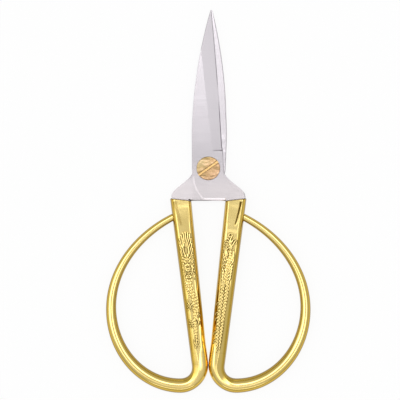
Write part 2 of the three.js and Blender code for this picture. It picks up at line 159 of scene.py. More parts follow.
BAR_STEPS = ((0.6, 3.0, 0.12), (3.0, 16.5, 0.3), (16.5, 80.0, 0.152))  # sections are closest under the relief
FOOT_STEP = 0.8
MOUTH_SECTIONS, BEND_SECTIONS, FOOT_SECTIONS, CROWN_SECTIONS, JOIN_SECTIONS = 6, 40, 46, 40, 22
SIDE_ANGLE = 40.0  # a quarter of a section has few points up to this, in degrees, and more on its face
SIDE_POINTS, CORNER_POINTS, FLAT_POINTS = 6, 19, 31
LOOP_JOIN, LOOP_STOP = 6.0, 1.2  # lengths before the loop's end
HANDLE_ARRIS = 62.0  # degrees past which two faces of the handle meet in a crisp line
FACET_CREASE_TOP = 2.1
FACET_CREASE_FOOT = 0.7
FACET_LENGTH = 13.0
FACET_PAST = 1.15  # its crease goes on to this share of its length
FACET_REACH = 20.0  # nothing of the facet goes on past this
FACET_FOOT = (0.92, 1.12)  # shares of its length over which it runs out on the front
FACET_BACK_FOOT = (0.4, 1.4)  # and on the back
FACET_CREASE_BOW = 0.2
FACET_TILT = math.radians(0.8)
FACET_BACK_TILT = math.radians(1.8)

# Pivot
SCREW_HEAD_RADIUS = 6.15
SCREW_HEAD_HEIGHT = 2.05
SCREW_HEAD_ROUND = 0.35
SCREW_SHANK_RADIUS = 2.8
SCREW_PROUD = 0.1
SLOT_WIDTH = 1.7
SLOT_DEPTH = 1.0
SLOT_HEADING = math.radians(35.0)
SLOT_BREAK = 0.27
SLOT_REACH = 1.5  # its cutter's half length, in radii of the head
CUT_OVER = 1.0  # cutters reach past a face by this
SCREW_MARKS = ((0.004, 0.36), (0.0015, 0.23))  # depth and pitch of the tool's rings on the face
SCREW_FACE_STEP = 0.045
SCREW_FACE_SINK = 0.009
SCREW_FACE_FALL = 0.03  # of the face towards its rim
SCREW_CORE = 0.05  # least radius of the screw's rings of points
SCREW_END_BREAK = 0.2
SCREW_HEAD_BREAK = 0.12
SCREW_SIDES, WASHER_SIDES, NUT_SIDES, BORE_SIDES = 144, 96, 120, 64
SCREW_ARRIS = 35.0  # degrees past which two faces of the screw meet in a crisp line
PIVOT_CLEARANCE = 0.06
SEAT_CLEARANCE = 0.03
SPRING_WASHER_RADIUS = 5.5
SPRING_WASHER_SHEET = 0.35
SPRING_WASHER_DISH = 0.18
REAR_WASHER_RADIUS = 5.8
REAR_WASHER_THICKNESS = 0.42
NUT_ACROSS_FLATS = 9.0
NUT_HEIGHT = 1.77
NUT_FACE_SHARE = 0.95  # of the distance across the flats
NUT_CHAMFER = math.tan(math.radians(28.0))
NUT_BORE_BREAK = 0.2
WASHER_ROUND = 0.1

NUT_Z = SCREW_PROUD
REAR_WASHER_Z = NUT_Z + NUT_HEIGHT + SEAT_CLEARANCE
REAR_BLADE_Z = REAR_WASHER_Z + REAR_WASHER_THICKNESS + SEAT_CLEARANCE
MIDDLE_Z = REAR_BLADE_Z + BLADE_THICKNESS + BLADE_GAP / 2
SPRING_WASHER_Z = MIDDLE_Z + BLADE_GAP / 2 + BLADE_THICKNESS + SEAT_CLEARANCE
SCREW_HEAD_Z = SPRING_WASHER_Z + SPRING_WASHER_SHEET + SPRING_WASHER_DISH + SEAT_CLEARANCE
BORE_RADIUS = SCREW_SHANK_RADIUS + PIVOT_CLEARANCE

# Photograph: one scale, taken square from above
PHOTO_SCALE = 0.522  # mm in a pixel
PHOTO_PIVOT = (208.3, 168.4)  # pixel of the pivot axis
PHOTO_SIZE = 400
LENS = 200.0
SENSOR = 36.0
CLIP = (0.01, 500.0)  # metres


def mix(a, b, share):
    return a + (b - a) * share


def unit(x):
    """x held between 0 and 1."""
    return np.clip(x, 0.0, 1.0)


def smoothstep(x, low, high):
    """0 up to low, 1 from high on, and 3t^2 - 2t^3 between them."""
    t = unit((x - low) / (high - low))
    return t * t * (3.0 - 2.0 * t)


def smoothdrop(x, low, high):
    """1 up to low, 0 from high on, and the rest of smoothstep between them."""
    return 1.0 - smoothstep(x, low, high)


def together(*parts):
    """Coordinates side by side along a new last axis, each brought to the shape of all."""
    return np.stack(np.broadcast_arrays(*parts), -1)


# Meshes


def placed(name, data):
    """A new object in the scene, at the origin."""
    item = bpy.data.objects.new(name, data)
    bpy.context.scene.collection.objects.link(item)
    return item


def make_piece(name, points, faces, material, sharp):
    """A mesh object at the origin from points in mm; its faces are turned round if they enclose a negative volume."""
    corners = [points[faces_of[:, [0, k, k + 1]]] for faces_of in faces for k in range(1, faces_of.shape[1] - 1)]
    volume = sum(np.einsum("ij,ij->", c[:, 0], np.cross(c[:, 1], c[:, 2])) for c in corners)
    if volume < 0:
        faces = [faces_of[:, ::-1] for faces_of in faces]
    mesh = bpy.data.meshes.new(name)
    mesh.from_pydata((points * MM).tolist(), [], [f for faces_of in faces for f in faces_of.tolist()])
    mesh.polygons.foreach_set("use_smooth", np.ones(len(mesh.polygons), bool))
    mesh.set_sharp_from_angle(angle=math.radians(sharp))
    mesh.materials.append(material)
    return placed(name, mesh)


def ring_faces(rows, sides, wrapped):
    """Quads between neighbouring rings; the last ring joins the first one if wrapped."""
    row, side = np.meshgrid(np.arange(rows if wrapped else rows - 1), np.arange(sides), indexing="ij")
    above, beside = (row + 1) % rows, (side + 1) % sides
    quads = row * sides + side, row * sides + beside, above * sides + beside, above * sides + side
    return together(*quads).reshape(-1, 4)


def skin(name, rings, material, sharp=30.0, wrapped=False):
    """A closed skin over rings[row, side] = (x, y, z): quads between rings, and a fan to each end ring's middle."""
    rows, sides, _ = rings.shape
    points = rings.reshape(-1, 3)
    faces = [ring_faces(rows, sides, wrapped)]
    if not wrapped:
        points = np.concatenate([points, rings[:1].mean(1), rings[-1:].mean(1)])
        side = np.arange(sides)
        beside, last = (side + 1) % sides, (rows - 1) * sides
        faces.append(together(beside, side, rows * sides))
        faces.append(together(last + side, last + beside, rows * sides + 1))
    return make_piece(name, points, faces, material, sharp)


def turned(name, profile, sides, material, sharp=30.0, wrapped=False):
    """A solid of revolution about Z: each (radius, height) of the profile becomes a ring r cos a, r sin a, z."""
    radius, height = np.asarray(profile, float).T
    angle = np.linspace(0.0, 2.0 * np.pi, sides, endpoint=False)
    rings = together(radius[:, None] * np.cos(angle), radius[:, None] * np.sin(angle), height[:, None])
    return skin(name, rings, material, sharp, wrapped)


def cut_away(piece, cutter, sharp):
    """Takes the cutter's solid out of the piece, removes the cutter, and keeps edges past the sharp angle crisp."""
    tool = piece.modifiers.new("cut", "BOOLEAN")
    tool.operation, tool.solver, tool.object = "DIFFERENCE", "EXACT", cutter
    tool.material_mode = "TRANSFER"
    result = bpy.data.meshes.new_from_object(piece.evaluated_get(bpy.context.evaluated_depsgraph_get()))
    piece.modifiers.clear()
    result.set_sharp_from_angle(angle=math.radians(sharp))
    piece.data = result
    bpy.data.objects.remove(cutter)


def turned_over(rings):
    """The rear half's place: half a turn about the Y axis through the middle plane, (x, y, z) to (-x, y, -z)."""
    return rings * np.array([-1.0, 1.0, -1.0])


# Finishes


NOISE_RANGE = (0.3, 0.7)  # most values of a noise lie between these
GILT_DIRT_AND_SHADE = (0.20, 0.125, 0.02)
GILT_DEEP_DIRT_AND_SHADE = (0.08, 0.05, 0.01)
STEEL_Y = (-0.010, 0.040)  # the steel's painted light and shade changes with height over this, in metres
# painted light and shade by height along the blade
STEEL_SHARES = ((0.0, (1.0, 0.985, 0.955)), (0.2, (0.885, 0.88, 0.875)), (0.34, (0.825, 0.825, 0.825)),
                (0.6, (0.89, 0.89, 0.89)), (0.92, (0.952, 0.952, 0.952)))


def add(tree, kind, inputs=None, **settings):
    """A shader node with its settings; an input that is a socket is linked, and any other is set as its value."""
    node = tree.nodes.new("ShaderNode" + kind)
    for key, value in settings.items():
        setattr(node, key, value)
    for key, value in (inputs or {}).items():
        if isinstance(value, bpy.types.NodeSocket):
            tree.links.new(value, node.inputs[key])
        else:
            node.inputs[key].default_value = value
    return node


def maths(tree, operation, *values):
    """The result of one step of arithmetic."""
    return add(tree, "Math", dict(enumerate(values)), operation=operation).outputs[0]


def noise(tree, place, scale, detail):
    """A cloudy value over the given coordinates."""
    return add(tree, "TexNoise", {"Vector": place, "Scale": scale, "Detail": detail}).outputs["Fac"]


def stretched(tree, place, scale, turn=0.0):
    """Coordinates scaled along each axis and then turned about Z."""
    return add(tree, "Mapping", {"Vector": place, "Rotation": (0.0, 0.0, turn), "Scale": scale}).outputs["Vector"]


def attribute(tree, name):
    """A value that the points of the piece carry."""
    return add(tree, "Attribute", attribute_name=name).outputs["Fac"]


def ramp(tree, value, stops):
    """A colour ramp through (position, colour) stops."""
    node = add(tree, "ValToRGB", {"Fac": value})
    elements = node.color_ramp.elements
    while len(elements) < len(stops):
        elements.new(0.5)
    for element, (position, colour) in zip(elements, stops):
        element.position = position
        element.color = (*colour, 1.0)
    return node.outputs["Color"]


def tones(tree, value, low, high):
    """A colour from one tone to another over a noise's range."""
    return ramp(tree, value, list(zip(NOISE_RANGE, (low, high))))


def spread(tree, value, low, high, to_low=0.0, to_high=1.0, **settings):
    """A value carried from one range to another, held at its ends."""
    inputs = {"Value": value, "From Min": low, "From Max": high, "To Min": to_low, "To Max": to_high}
    return add(tree, "MapRange", inputs, **settings).outputs["Result"]


def blend(tree, share, first, second):
    """A colour that goes from the first to the second one by share, on the colour sockets of a mix, 6 and 7."""
    if not isinstance(second, bpy.types.NodeSocket):
        second = (*second, 1.0)
    return add(tree, "Mix", {"Factor": share, 6: first, 7: second}, data_type="RGBA").outputs[2]


def metal(name):
    """A new material with its node tree and its Object coordinates."""
    material = bpy.data.materials.new(name)
    material.use_nodes = True
    tree = material.node_tree
    return material, tree, add(tree, "TexCoord").outputs["Object"]


def finished(material, colour, roughness, bump=None):
    """Makes the material a metal of this colour and roughness, with a bump's strength, depth and height if given."""
    tree = material.node_tree
    shader = tree.nodes["Principled BSDF"].inputs
    shader["Metallic"].default_value = 1.0
    tree.links.new(colour, shader["Base Color"])
    tree.links.new(roughness, shader["Roughness"])
    if bump:
        bumped = add(tree, "Bump", dict(zip(("Strength", "Distance", "Height"), bump)))
        tree.links.new(bumped.outputs["Normal"], shader["Normal"])
    return material


def gilt_finish():
    """Polished gold-coloured plating: cloudy tone, fine casting ripple, painted shade that deepens the tone down the
    flanks and painted reflection that makes it amber where the bars face each other, and dark in the hollows of the
    relief, with painted shade round its figures, in the facet's crease and at the mouth."""
    material, tree, place = metal("gilt_plating")
    cloud, ripple = noise(tree, place, 70.0, 3.0), noise(tree, place, 900.0, 2.0)
    wear_and_shade, painted_flank_light = attribute(tree, "relief_wear_and_shade"), attribute(tree, "painted_flank_light")
    gold = tones(tree, cloud, (0.92, 0.70, 0.25), (0.96, 0.755, 0.30))
    # painted shade down the flanks, and a painted amber reflection where the bars face each other
    flank_shade = ramp(tree, painted_flank_light, [(0.0, GILT_DIRT_AND_SHADE), (0.48, (0.34, 0.22, 0.035)), (0.70, (0.73, 0.485, 0.075)),
                                 (0.86, (0.85, 0.60, 0.12))])
    flank_shaded = blend(tree, spread(tree, painted_flank_light, 0.76, 0.985), flank_shade, gold)
    # patina in the relief's hollows, with painted shade round its figures, in the facet's crease and at the mouth
    hollow = spread(tree, wear_and_shade, 0.46, 0.1)
    dirty_and_shaded = blend(tree, hollow, flank_shaded, GILT_DIRT_AND_SHADE)
    colour = blend(tree, spread(tree, wear_and_shade, 0.1, 0.0), dirty_and_shaded, GILT_DEEP_DIRT_AND_SHADE)
    gloss = spread(tree, cloud, *NOISE_RANGE, 0.07, 0.12)
    return finished(material, colour, maths(tree, "MULTIPLY_ADD", hollow, 0.2, gloss), (0.06, 0.0002, ripple))


def steel_finish():
    """Satin steel: fine grinding lines across the blade, with a slow change of tone and gloss, and painted light and
    shade by height: darker round the pivot, lighter and warmer on the shoulder."""
    material, tree, place = metal("satin_steel")
    lines = noise(tree, stretched(tree, place, (120.0, 5200.0, 400.0)), 1.0, 3.0)
    tone = tones(tree, noise(tree, place, 60.0, 2.0), (0.725, 0.685, 0.725), (0.756, 0.713, 0.754))
    height = add(tree, "SeparateXYZ", {0: place}).outputs["Y"]
    # painted light and shade by height: lighter and warmer on the shoulder, darkest round the pivot
    painted_light_by_height = ramp(tree, spread(tree, height, *STEEL_Y), STEEL_SHARES)
    colour = add(tree, "VectorMath", {0: tone, 1: painted_light_by_height}, operation="MULTIPLY").outputs["Vector"]
    return finished(material, colour, spread(tree, lines, *NOISE_RANGE, 0.13, 0.17), (0.03, 0.00003, lines))


def brass_finish():
    """Turned brass: painted light that makes it lighter and more coppery to one side, painted highlights in light
    streaks, dark streaky scuffs and uneven gloss.
    """
    material, tree, place = metal("turned_brass")
    # painted light: lighter and more coppery towards one side of the head
    side = add(tree, "VectorMath", {0: place, 1: (0.8, -0.6, 0.0)}, operation="DOT_PRODUCT").outputs["Value"]
    blotch = noise(tree, place, 420.0, 3.0)
    scuff = noise(tree, stretched(tree, place, (280.0, 1000.0, 600.0), -SLOT_HEADING), 1.0, 2.0)
    tone = ramp(tree, maths(tree, "MULTIPLY_ADD", side, 90.0, blotch), [
        (0.1, (0.41, 0.31, 0.155)), (0.5, (0.47, 0.305, 0.155)), (0.95, (0.51, 0.32, 0.19))])
    # painted highlights in light streaks
    bright = blend(tree, spread(tree, scuff, 0.46, 0.34, 0.0, 0.6), tone, (0.74, 0.53, 0.34))
    worn = blend(tree, spread(tree, scuff, 0.53, 0.64, 0.0, 0.8), bright, (0.25, 0.165, 0.07))
    return finished(material, worn, spread(tree, blotch, *NOISE_RANGE, 0.16, 0.3))


def cut_brass_finish(name, dull, bright):
    """Brass as the slot's saw leaves it, in fine lines from a dull to a bright tone."""
    material, tree, place = metal(name)
    lines = noise(tree, stretched(tree, place, (300.0, 6000.0, 6000.0), -SLOT_HEADING), 1.0, 2.0)
    return finished(material, tones(tree, lines, dull, bright), spread(tree, lines, *NOISE_RANGE, 0.2, 0.3))


def spring_finish():
    """Plain spring steel with a faint mottle."""
    material, tree, place = metal("spring_steel")
    mottle = noise(tree, place, 500.0, 3.0)
    return finished(material, tones(tree, mottle, (0.42, 0.41, 0.40), (0.52, 0.51, 0.50)),
                    spread(tree, mottle, *NOISE_RANGE, 0.28, 0.4))


# Blades


def spine_side(y):
    """x of the spine: a circle's arc from the belly to the tip, straight past the pivot, an arc inward below it."""
    rise, drop = BLADE_LENGTH - BELLY_Y, SPINE_AT_BELLY - SPINE_AT_TIP
    radius = (rise * rise + drop * drop) / (2.0 * drop)
    arc = radius - SPINE_AT_BELLY - np.sqrt(radius**2 - np.clip(y - BELLY_Y, 0.0, rise) ** 2)
    straight = -mix(SPINE_AT_PIVOT, SPINE_AT_BELLY, y / BELLY_Y)
    neck = -mix(SPINE_AT_PIVOT, NECK_SPINE, y / NECK_SPINE_Y)
    fall = np.clip(NECK_SPINE_Y - y, 0.0, NECK_CURVE_RADIUS)
    inward = NECK_CURVE_RADIUS - NECK_SPINE - np.sqrt(NECK_CURVE_RADIUS**2 - fall * fall)
    return np.select([y > BELLY_Y, y > 0.0, y > NECK_SPINE_Y], [arc, straight, neck], inward)


def edge_side(y):
    """x of the edge: a line to the tip with a slight bow, a step out at the heel, then the shoulder's smooth flare."""
    share = (y - HEEL_Y) / (BLADE_LENGTH - HEEL_Y)
    edge = mix(EDGE_AT_HEEL, EDGE_AT_TIP, share) + 4.0 * EDGE_BOW * share * (1.0 - share)
    heel = mix(NECK_EDGE_AT_LEDGE, EDGE_AT_HEEL, (y - LEDGE_Y) / (HEEL_Y - LEDGE_Y))
    neck = mix(NECK_EDGE, NECK_EDGE_AT_LEDGE, (y - NECK_EDGE_Y) / (LEDGE_Y - NECK_EDGE_Y))
    flare = mix(NECK_EDGE, SHOULDER_REACH, smoothstep(NECK_EDGE_Y - y, 0.0, NECK_EDGE_Y - SHOULDER_REACH_Y))
    return np.select([y > HEEL_Y, y > LEDGE_Y, y > NECK_EDGE_Y], [edge, heel, neck], flare)


def ridge_side(y):
    """x of the ridge between the flat and the ground face: a line from the ledge to the spine."""
    top = spine_side(np.array(RIDGE_TOP_Y))
    return mix(RIDGE_AT_LEDGE, top, (y - LEDGE_Y) / (RIDGE_TOP_Y - LEDGE_Y))


def blade_rings(lean, spine_out):
    """Sections of a blade from tip to tang, inner face at z = 0. Each goes along the inner face from spine to edge,
    over its broken corner, nearly flat land and hollow, up the edge and its bevel, over the ground face and the ridge
    to the flat, and down the spine, which stands out by spine_out beside the pivot."""
    ground_y = np.concatenate([
        np.linspace(BLADE_LENGTH, RIDGE_TOP_Y, TIP_SECTIONS), np.linspace(RIDGE_TOP_Y, HEEL_Y, GROUND_SECTIONS)[1:],
        np.linspace(HEEL_Y, LEDGE_Y + LEDGE_WALL, HEEL_SECTIONS)[1:]])
    neck_y = np.concatenate([
        [LEDGE_Y], np.linspace(LEDGE_Y - LEDGE_BREAK, NECK_EDGE_Y, NECK_SECTIONS),
        np.linspace(NECK_EDGE_Y, SHOULDER_FOOT_Y + FOOT_BREAK_WIDTH + FOOT_CHAMFER_WIDTH, SHOULDER_SECTIONS)[1:],
        [SHOULDER_FOOT_Y + FOOT_BREAK_WIDTH, SHOULDER_FOOT_Y]])
    y = np.concatenate([ground_y, neck_y])
    ground = np.arange(len(y)) < len(ground_y)
    left = spine_side(y) - spine_out * smoothstep(y, *SPINE_OUT_START) * smoothdrop(y, *SPINE_OUT_END)
    right = edge_side(y)
    width = right - left

    ridge = ridge_side(y)
    chamfer = np.minimum(SPINE_CHAMFER, width * BREAK_SHARE)
    bevel = np.minimum(EDGE_BEVEL_WIDTH, width * BEVEL_SHARE)
    inward = smoothstep(NECK_SPINE_Y - y, 0.0, INNER_CHAMFER_START)
    narrow = np.maximum(LEAST_CHAMFER, SPINE_CHAMFER * smoothstep(y - NECK_SPINE_Y, 0.0, INNER_CHAMFER_START))
    broad = np.maximum(LEAST_CHAMFER, INNER_CHAMFER_WIDTH * inward)
    kink = mix(RIDGE_AT_LEDGE, SHOULDER_KINK_X, smoothstep(LEDGE_Y - y, 0.0, LEDGE_Y - SHOULDER_FOOT_Y))
    top = np.full_like(y, BLADE_THICKNESS)
    foot = np.zeros_like(y)
    foot[-2:] = FOOT_CHAMFER_DEPTH, FOOT_CHAMFER_DEPTH + FOOT_BREAK_DEPTH
    inner_foot = np.zeros_like(y)
    inner_foot[-1] = FOOT_BREAK_DEPTH

    def between_handles(x):
        return smoothdrop(x, SHOULDER_KINK_X, SHOULDER_KINK_X + FOOT_CHAMFER_END)

    def height(x):
        fall = np.where(ground, GRIND_SLOPE * np.maximum(0.0, x - ridge), 0.0)
        at_ledge = (y == LEDGE_Y) * LEDGE_BREAK_SHARE * GRIND_SLOPE * np.maximum(0.0, x - ridge)
        return top - fall - at_ledge - foot * between_handles(x)

    crest = np.where(ground, np.maximum(ridge, left + 2.0 * chamfer), kink)
    edge_break = np.where(ground, bevel, NECK_CHAMFER_WIDTH)
    edge_top = np.where(ground, np.minimum(EDGE_LAND, height(right) / 2.0), top - NECK_CHAMFER_DEPTH)
    spine_break = np.select([ground, y > NECK_SPINE_Y], [chamfer, narrow], broad)
    spine_drop = np.where(ground | (y > NECK_SPINE_Y), spine_break, broad * INNER_CHAMFER_DEPTH / INNER_CHAMFER_WIDTH)
    rim = np.minimum(INNER_RIM_WIDTH, width * BREAK_SHARE)
    breadth = np.minimum(1.0, width / FULL_WIDTH)
    hollow = HOLLOW * smoothstep(y, HEEL_Y, HEEL_Y + HOLLOW_RUN_IN) * breadth
    land = np.clip(-left - right - rim + INNER_LAND_UNDER, LEAST_LAND * rim, MOST_LAND * width)
    land_slope = mix(INNER_LAND_HEEL_SLOPE, INNER_LAND_SLOPE, smoothstep(y, *LAND_SLOPE_Y))
    land_fall = land_slope * land * smoothstep(y, *LAND_Y) * breadth
    shoulder = SHOULDER_FALL * smoothdrop(y, *SHOULDER_FALL_Y)

    columns = [(left, INNER_RIM_DEPTH * rim / INNER_RIM_WIDTH + inner_foot), (left + rim, inner_foot)]
    for t in np.linspace(0.0, 1.0, HOLLOW_POINTS):
        depth = land_fall * (1.0 - t) + hollow * 4.0 * t * (1.0 - t)
        x = mix(left + rim + land, right, t)
        fall = shoulder * np.maximum(0.0, x - SHOULDER_FALL_START)
        columns.append((x, depth + fall + inner_foot * between_handles(x - INNER_BREAK_REACH)))
    columns.append((right, edge_top))
    for t in GROUND_SHARES:
        x = mix(right - edge_break, crest, t)
        columns.append((x, height(x)))
    for t in FLAT_SHARES:
        x = mix(crest, left + spine_break, t)
        columns.append((x, height(x)))
    columns.append((left, height(left) - spine_drop))

    slant = math.tan(MOUTH_SLANT) * smoothstep(NECK_EDGE_Y - y, 0.0, NECK_EDGE_Y - SHOULDER_REACH_Y)
    x = np.stack([c[0] for c in columns], 1)
    z = np.stack([c[1] for c in columns], 1)
    rise = slant[:, None] * np.maximum(0.0, x - SHOULDER_KINK_X)
    ledge = len(ground_y)
    near_ridge = LEDGE_MEET * (1.0 - unit((x - RIDGE_AT_LEDGE) / LEDGE_RUN_OUT))
    rise[ledge - 1] -= LEDGE_WALL * near_ridge[ledge - 1]
    rise[ledge + 1] += LEDGE_BREAK * near_ridge[ledge + 1]
    past_kink = x[-3:] - SHOULDER_KINK_X
    rise[-3:] -= FOOT_SAG * smoothdrop(past_kink, -FOOT_SAG_START, FOOT_SAG_FADE)
    rings = together(x + math.tan(lean) * np.maximum(0.0, y)[:, None], y[:, None] + rise, z)
    return np.concatenate([rings, tang_rings(len(columns))])


def tang_rings(sides):
    """The tang's rectangle at the shoulder's foot and at its end, with as many points as a section of the blade."""
    under = 2 + HOLLOW_POINTS
    across = np.concatenate([np.linspace(-1.0, 1.0, under), np.linspace(1.0, -1.0, sides - under)])
    z = np.where(np.arange(sides) < under, TANG_INSET, BLADE_THICKNESS - TANG_INSET)
    rings = []
    for drop, half in ((0.0, TANG_MOUTH_WIDTH / 2), (TANG_LENGTH, TANG_END_WIDTH / 2)):
        x, y = bar_point(half * across, drop)
        if drop == 0.0:
            y = SHOULDER_FOOT_Y + math.tan(MOUTH_SLANT) * np.maximum(0.0, x - SHOULDER_KINK_X)
        rings.append(together(x, y, z))
    return np.stack(rings)


# Handles

MOUTH_Y = (SHOULDER_FOOT_Y + math.tan(MOUTH_SLANT) * (MOUTH_X - SHOULDER_KINK_X)
           - CAST_CLEARANCE / math.cos(MOUTH_SLANT))
TANG_MOUTH_WIDTH = mix(TANG_ROOT_WIDTH, TANG_END_WIDTH, TANG_ROOT_DEPTH / (TANG_ROOT_DEPTH + TANG_LENGTH))
BEND_X = HANDLE_GAP / 2 + BAR_FOOT[0] / 2 + BEND_RADIUS
BEND_Y = LOOP_WAIST_Y - LOOP_DROP + BEND_RADIUS
MOUTH_TO_BEND = math.hypot(BEND_X - MOUTH_X, BEND_Y - MOUTH_Y)
BAR_LEAN = math.asin(BEND_RADIUS / MOUTH_TO_BEND) - math.atan2(BEND_X - MOUTH_X, MOUTH_Y - BEND_Y)
BAR_LENGTH = math.sqrt(MOUTH_TO_BEND**2 - BEND_RADIUS**2)


def bar_point(u, s):
    """x, y of a point of the bar: u outward from its middle, s down from its mouth."""
    sin, cos = math.sin(BAR_LEAN), math.cos(BAR_LEAN)
    return MOUTH_X + u * cos - s * sin, MOUTH_Y - u * sin - s * cos


def centre_line():
    """The handle's centre line as close points with their running length, and the lengths where its pieces meet:
    a straight bar, a circle's arc, a quarter of an ellipse, and a cubic curve from the waist into the bar's side."""
    t = np.linspace(0.0, 1.0, LINE_POINTS)
    bar = together(*bar_point(0.0, BAR_LENGTH * t))
    turn = mix(math.pi - BAR_LEAN, 1.5 * math.pi, t)
    bend = together(BEND_X + BEND_RADIUS * np.cos(turn), BEND_Y + BEND_RADIUS * np.sin(turn))
    turn = mix(1.5 * math.pi, 2.0 * math.pi, t)
    foot = together(BEND_X + (LOOP_REACH - BEND_X) * np.cos(turn), LOOP_WAIST_Y + LOOP_DROP * np.sin(turn))
    join_width = mix(BAR_TOP[0], BAR_FOOT[0], JOIN_DROP / BAR_LENGTH)
    join = np.array(bar_point(join_width / 2 - JOIN_DEPTH, JOIN_DROP))
    waist = np.array([LOOP_REACH, LOOP_WAIST_Y])
    lifted = waist + [0.0, CROWN_WAIST_PULL]
    pulled = join - CROWN_JOIN_PULL * np.array([math.cos(JOIN_HEADING), math.sin(JOIN_HEADING)])
    t = t[:, None]
    crown = (1 - t) ** 3 * waist + 3 * t * (1 - t) ** 2 * lifted + 3 * t**2 * (1 - t) * pulled + t**3 * join
    line = np.concatenate([bar, bend[1:], foot[1:], crown[1:]])
    run = np.concatenate([[0.0], np.cumsum(np.hypot(*np.diff(line, axis=0).T))])
    bar_end, bend_end, waist_at = (run[pieces * (LINE_POINTS - 1)] for pieces in (1, 2, 3))
    return line, run, (bar_end, (bar_end + bend_end) / 2, bend_end, waist_at, run[-1])


def eased(values, run, reach):
    """Values along the line, with corners rounded by a running mean over a length of twice reach."""
    steps = np.linspace(-reach, reach, EASE_STEPS)
    return np.mean([np.interp(run + step, run, values) for step in steps], axis=0)


def section_outline():
    """The handle's section in three arrays round it: share of the flat, and cosine and sine of the corner's turn."""
    quarter = np.radians(np.concatenate([
        np.linspace(0.0, SIDE_ANGLE, SIDE_POINTS), np.linspace(SIDE_ANGLE, 90.0, CORNER_POINTS)[1:]]))
    flat = np.linspace(1.0, -1.0, FLAT_POINTS)[1:-1]
    one, none = np.ones(len(quarter)), np.zeros(len(flat))
    back = quarter[::-1]
    share = [one, flat, -one, -one[1:], -flat, one[:-1]]
    cosine = [np.cos(quarter), none, -np.cos(back), -np.cos(quarter)[1:], none, np.cos(back)[:-1]]
    sine = [np.sin(quarter), none + 1.0, np.sin(back), -np.sin(quarter)[1:], none - 1.0, -np.sin(back)[:-1]]
    return np.concatenate(share), np.concatenate(cosine), np.concatenate(sine)


# Relief on the bars, drawn in the bar's frame as it is seen from the front: u to the right, s down from the mouth


def smooth_line(points, per_span=7):
    """A smooth line through points, as a cubic between each pair whose slopes follow the neighbouring points."""
    p = np.asarray(points, float)
    p = np.concatenate([[2 * p[0] - p[1]], p, [2 * p[-1] - p[-2]]])
    t = np.linspace(0.0, 1.0, per_span, endpoint=False)[:, None]
    spans = []
    for a, b, c, d in zip(p, p[1:], p[2:], p[3:]):
        spans.append(0.5 * (2 * b + (c - a) * t + (2 * a - 5 * b + 4 * c - d) * t**2 + (3 * b - a - 3 * c + d) * t**3))
    return np.concatenate([*spans, p[-2:-1]])


def near_line(u, s, line):
    """For each point: the distance to a line, on which side it lies, and the share of the line's length there."""
    start, step = line[:-1], np.diff(line, axis=0)
    length = np.hypot(*step.T)
    run = np.concatenate([[0.0], np.cumsum(length)])
    du, ds = u[:, None] - start[:, 0], s[:, None] - start[:, 1]
    along = unit((du * step[:, 0] + ds * step[:, 1]) / length**2)
    off_u, off_s = du - along * step[:, 0], ds - along * step[:, 1]
    away = np.hypot(off_u, off_s)
    best = np.argmin(away, axis=1)
    pick = np.arange(len(u)), best
    side = np.sign(step[best, 0] * off_s[pick] - step[best, 1] * off_u[pick])
    return away[pick], side, (run[best] + along[pick] * length[best]) / run[-1]


RIM_SHADE = 0.36  # painted shade reaches this far round each figure
CROWN_POWER = 0.6  # a crowned figure's height goes with (1 - distance^2) to this power
BAND_REACH = 1.8  # how far round a band its fins may stand, in half widths
SCALE_LENGTH = 1.75  # of a scale, in rows
SCALE_HALF_WIDTH = 0.52  # in columns
SCALE_LEAST = 0.01  # height that a scaled band keeps
SCALE_SHADE, SCALE_SHADE_REACH = 1.25, 1.2  # painted shade under a scale's tip, and the squared distance over which 1 of it goes
FIN_ROOT = 0.9  # share across a band where its teeth start
FIN_LEAN = 0.5
FIN_POINT = 0.05  # share of a tooth's width at its point
SHAFT_HALF_WIDTH = 0.16  # of a feather's shaft, as a share across it
BARB_VALLEY = 0.3  # height between two barbs, as a share of their own
BARB_SHADE = (0.18, 0.4)  # shares of the pitch off a barb's middle over which painted shade comes in
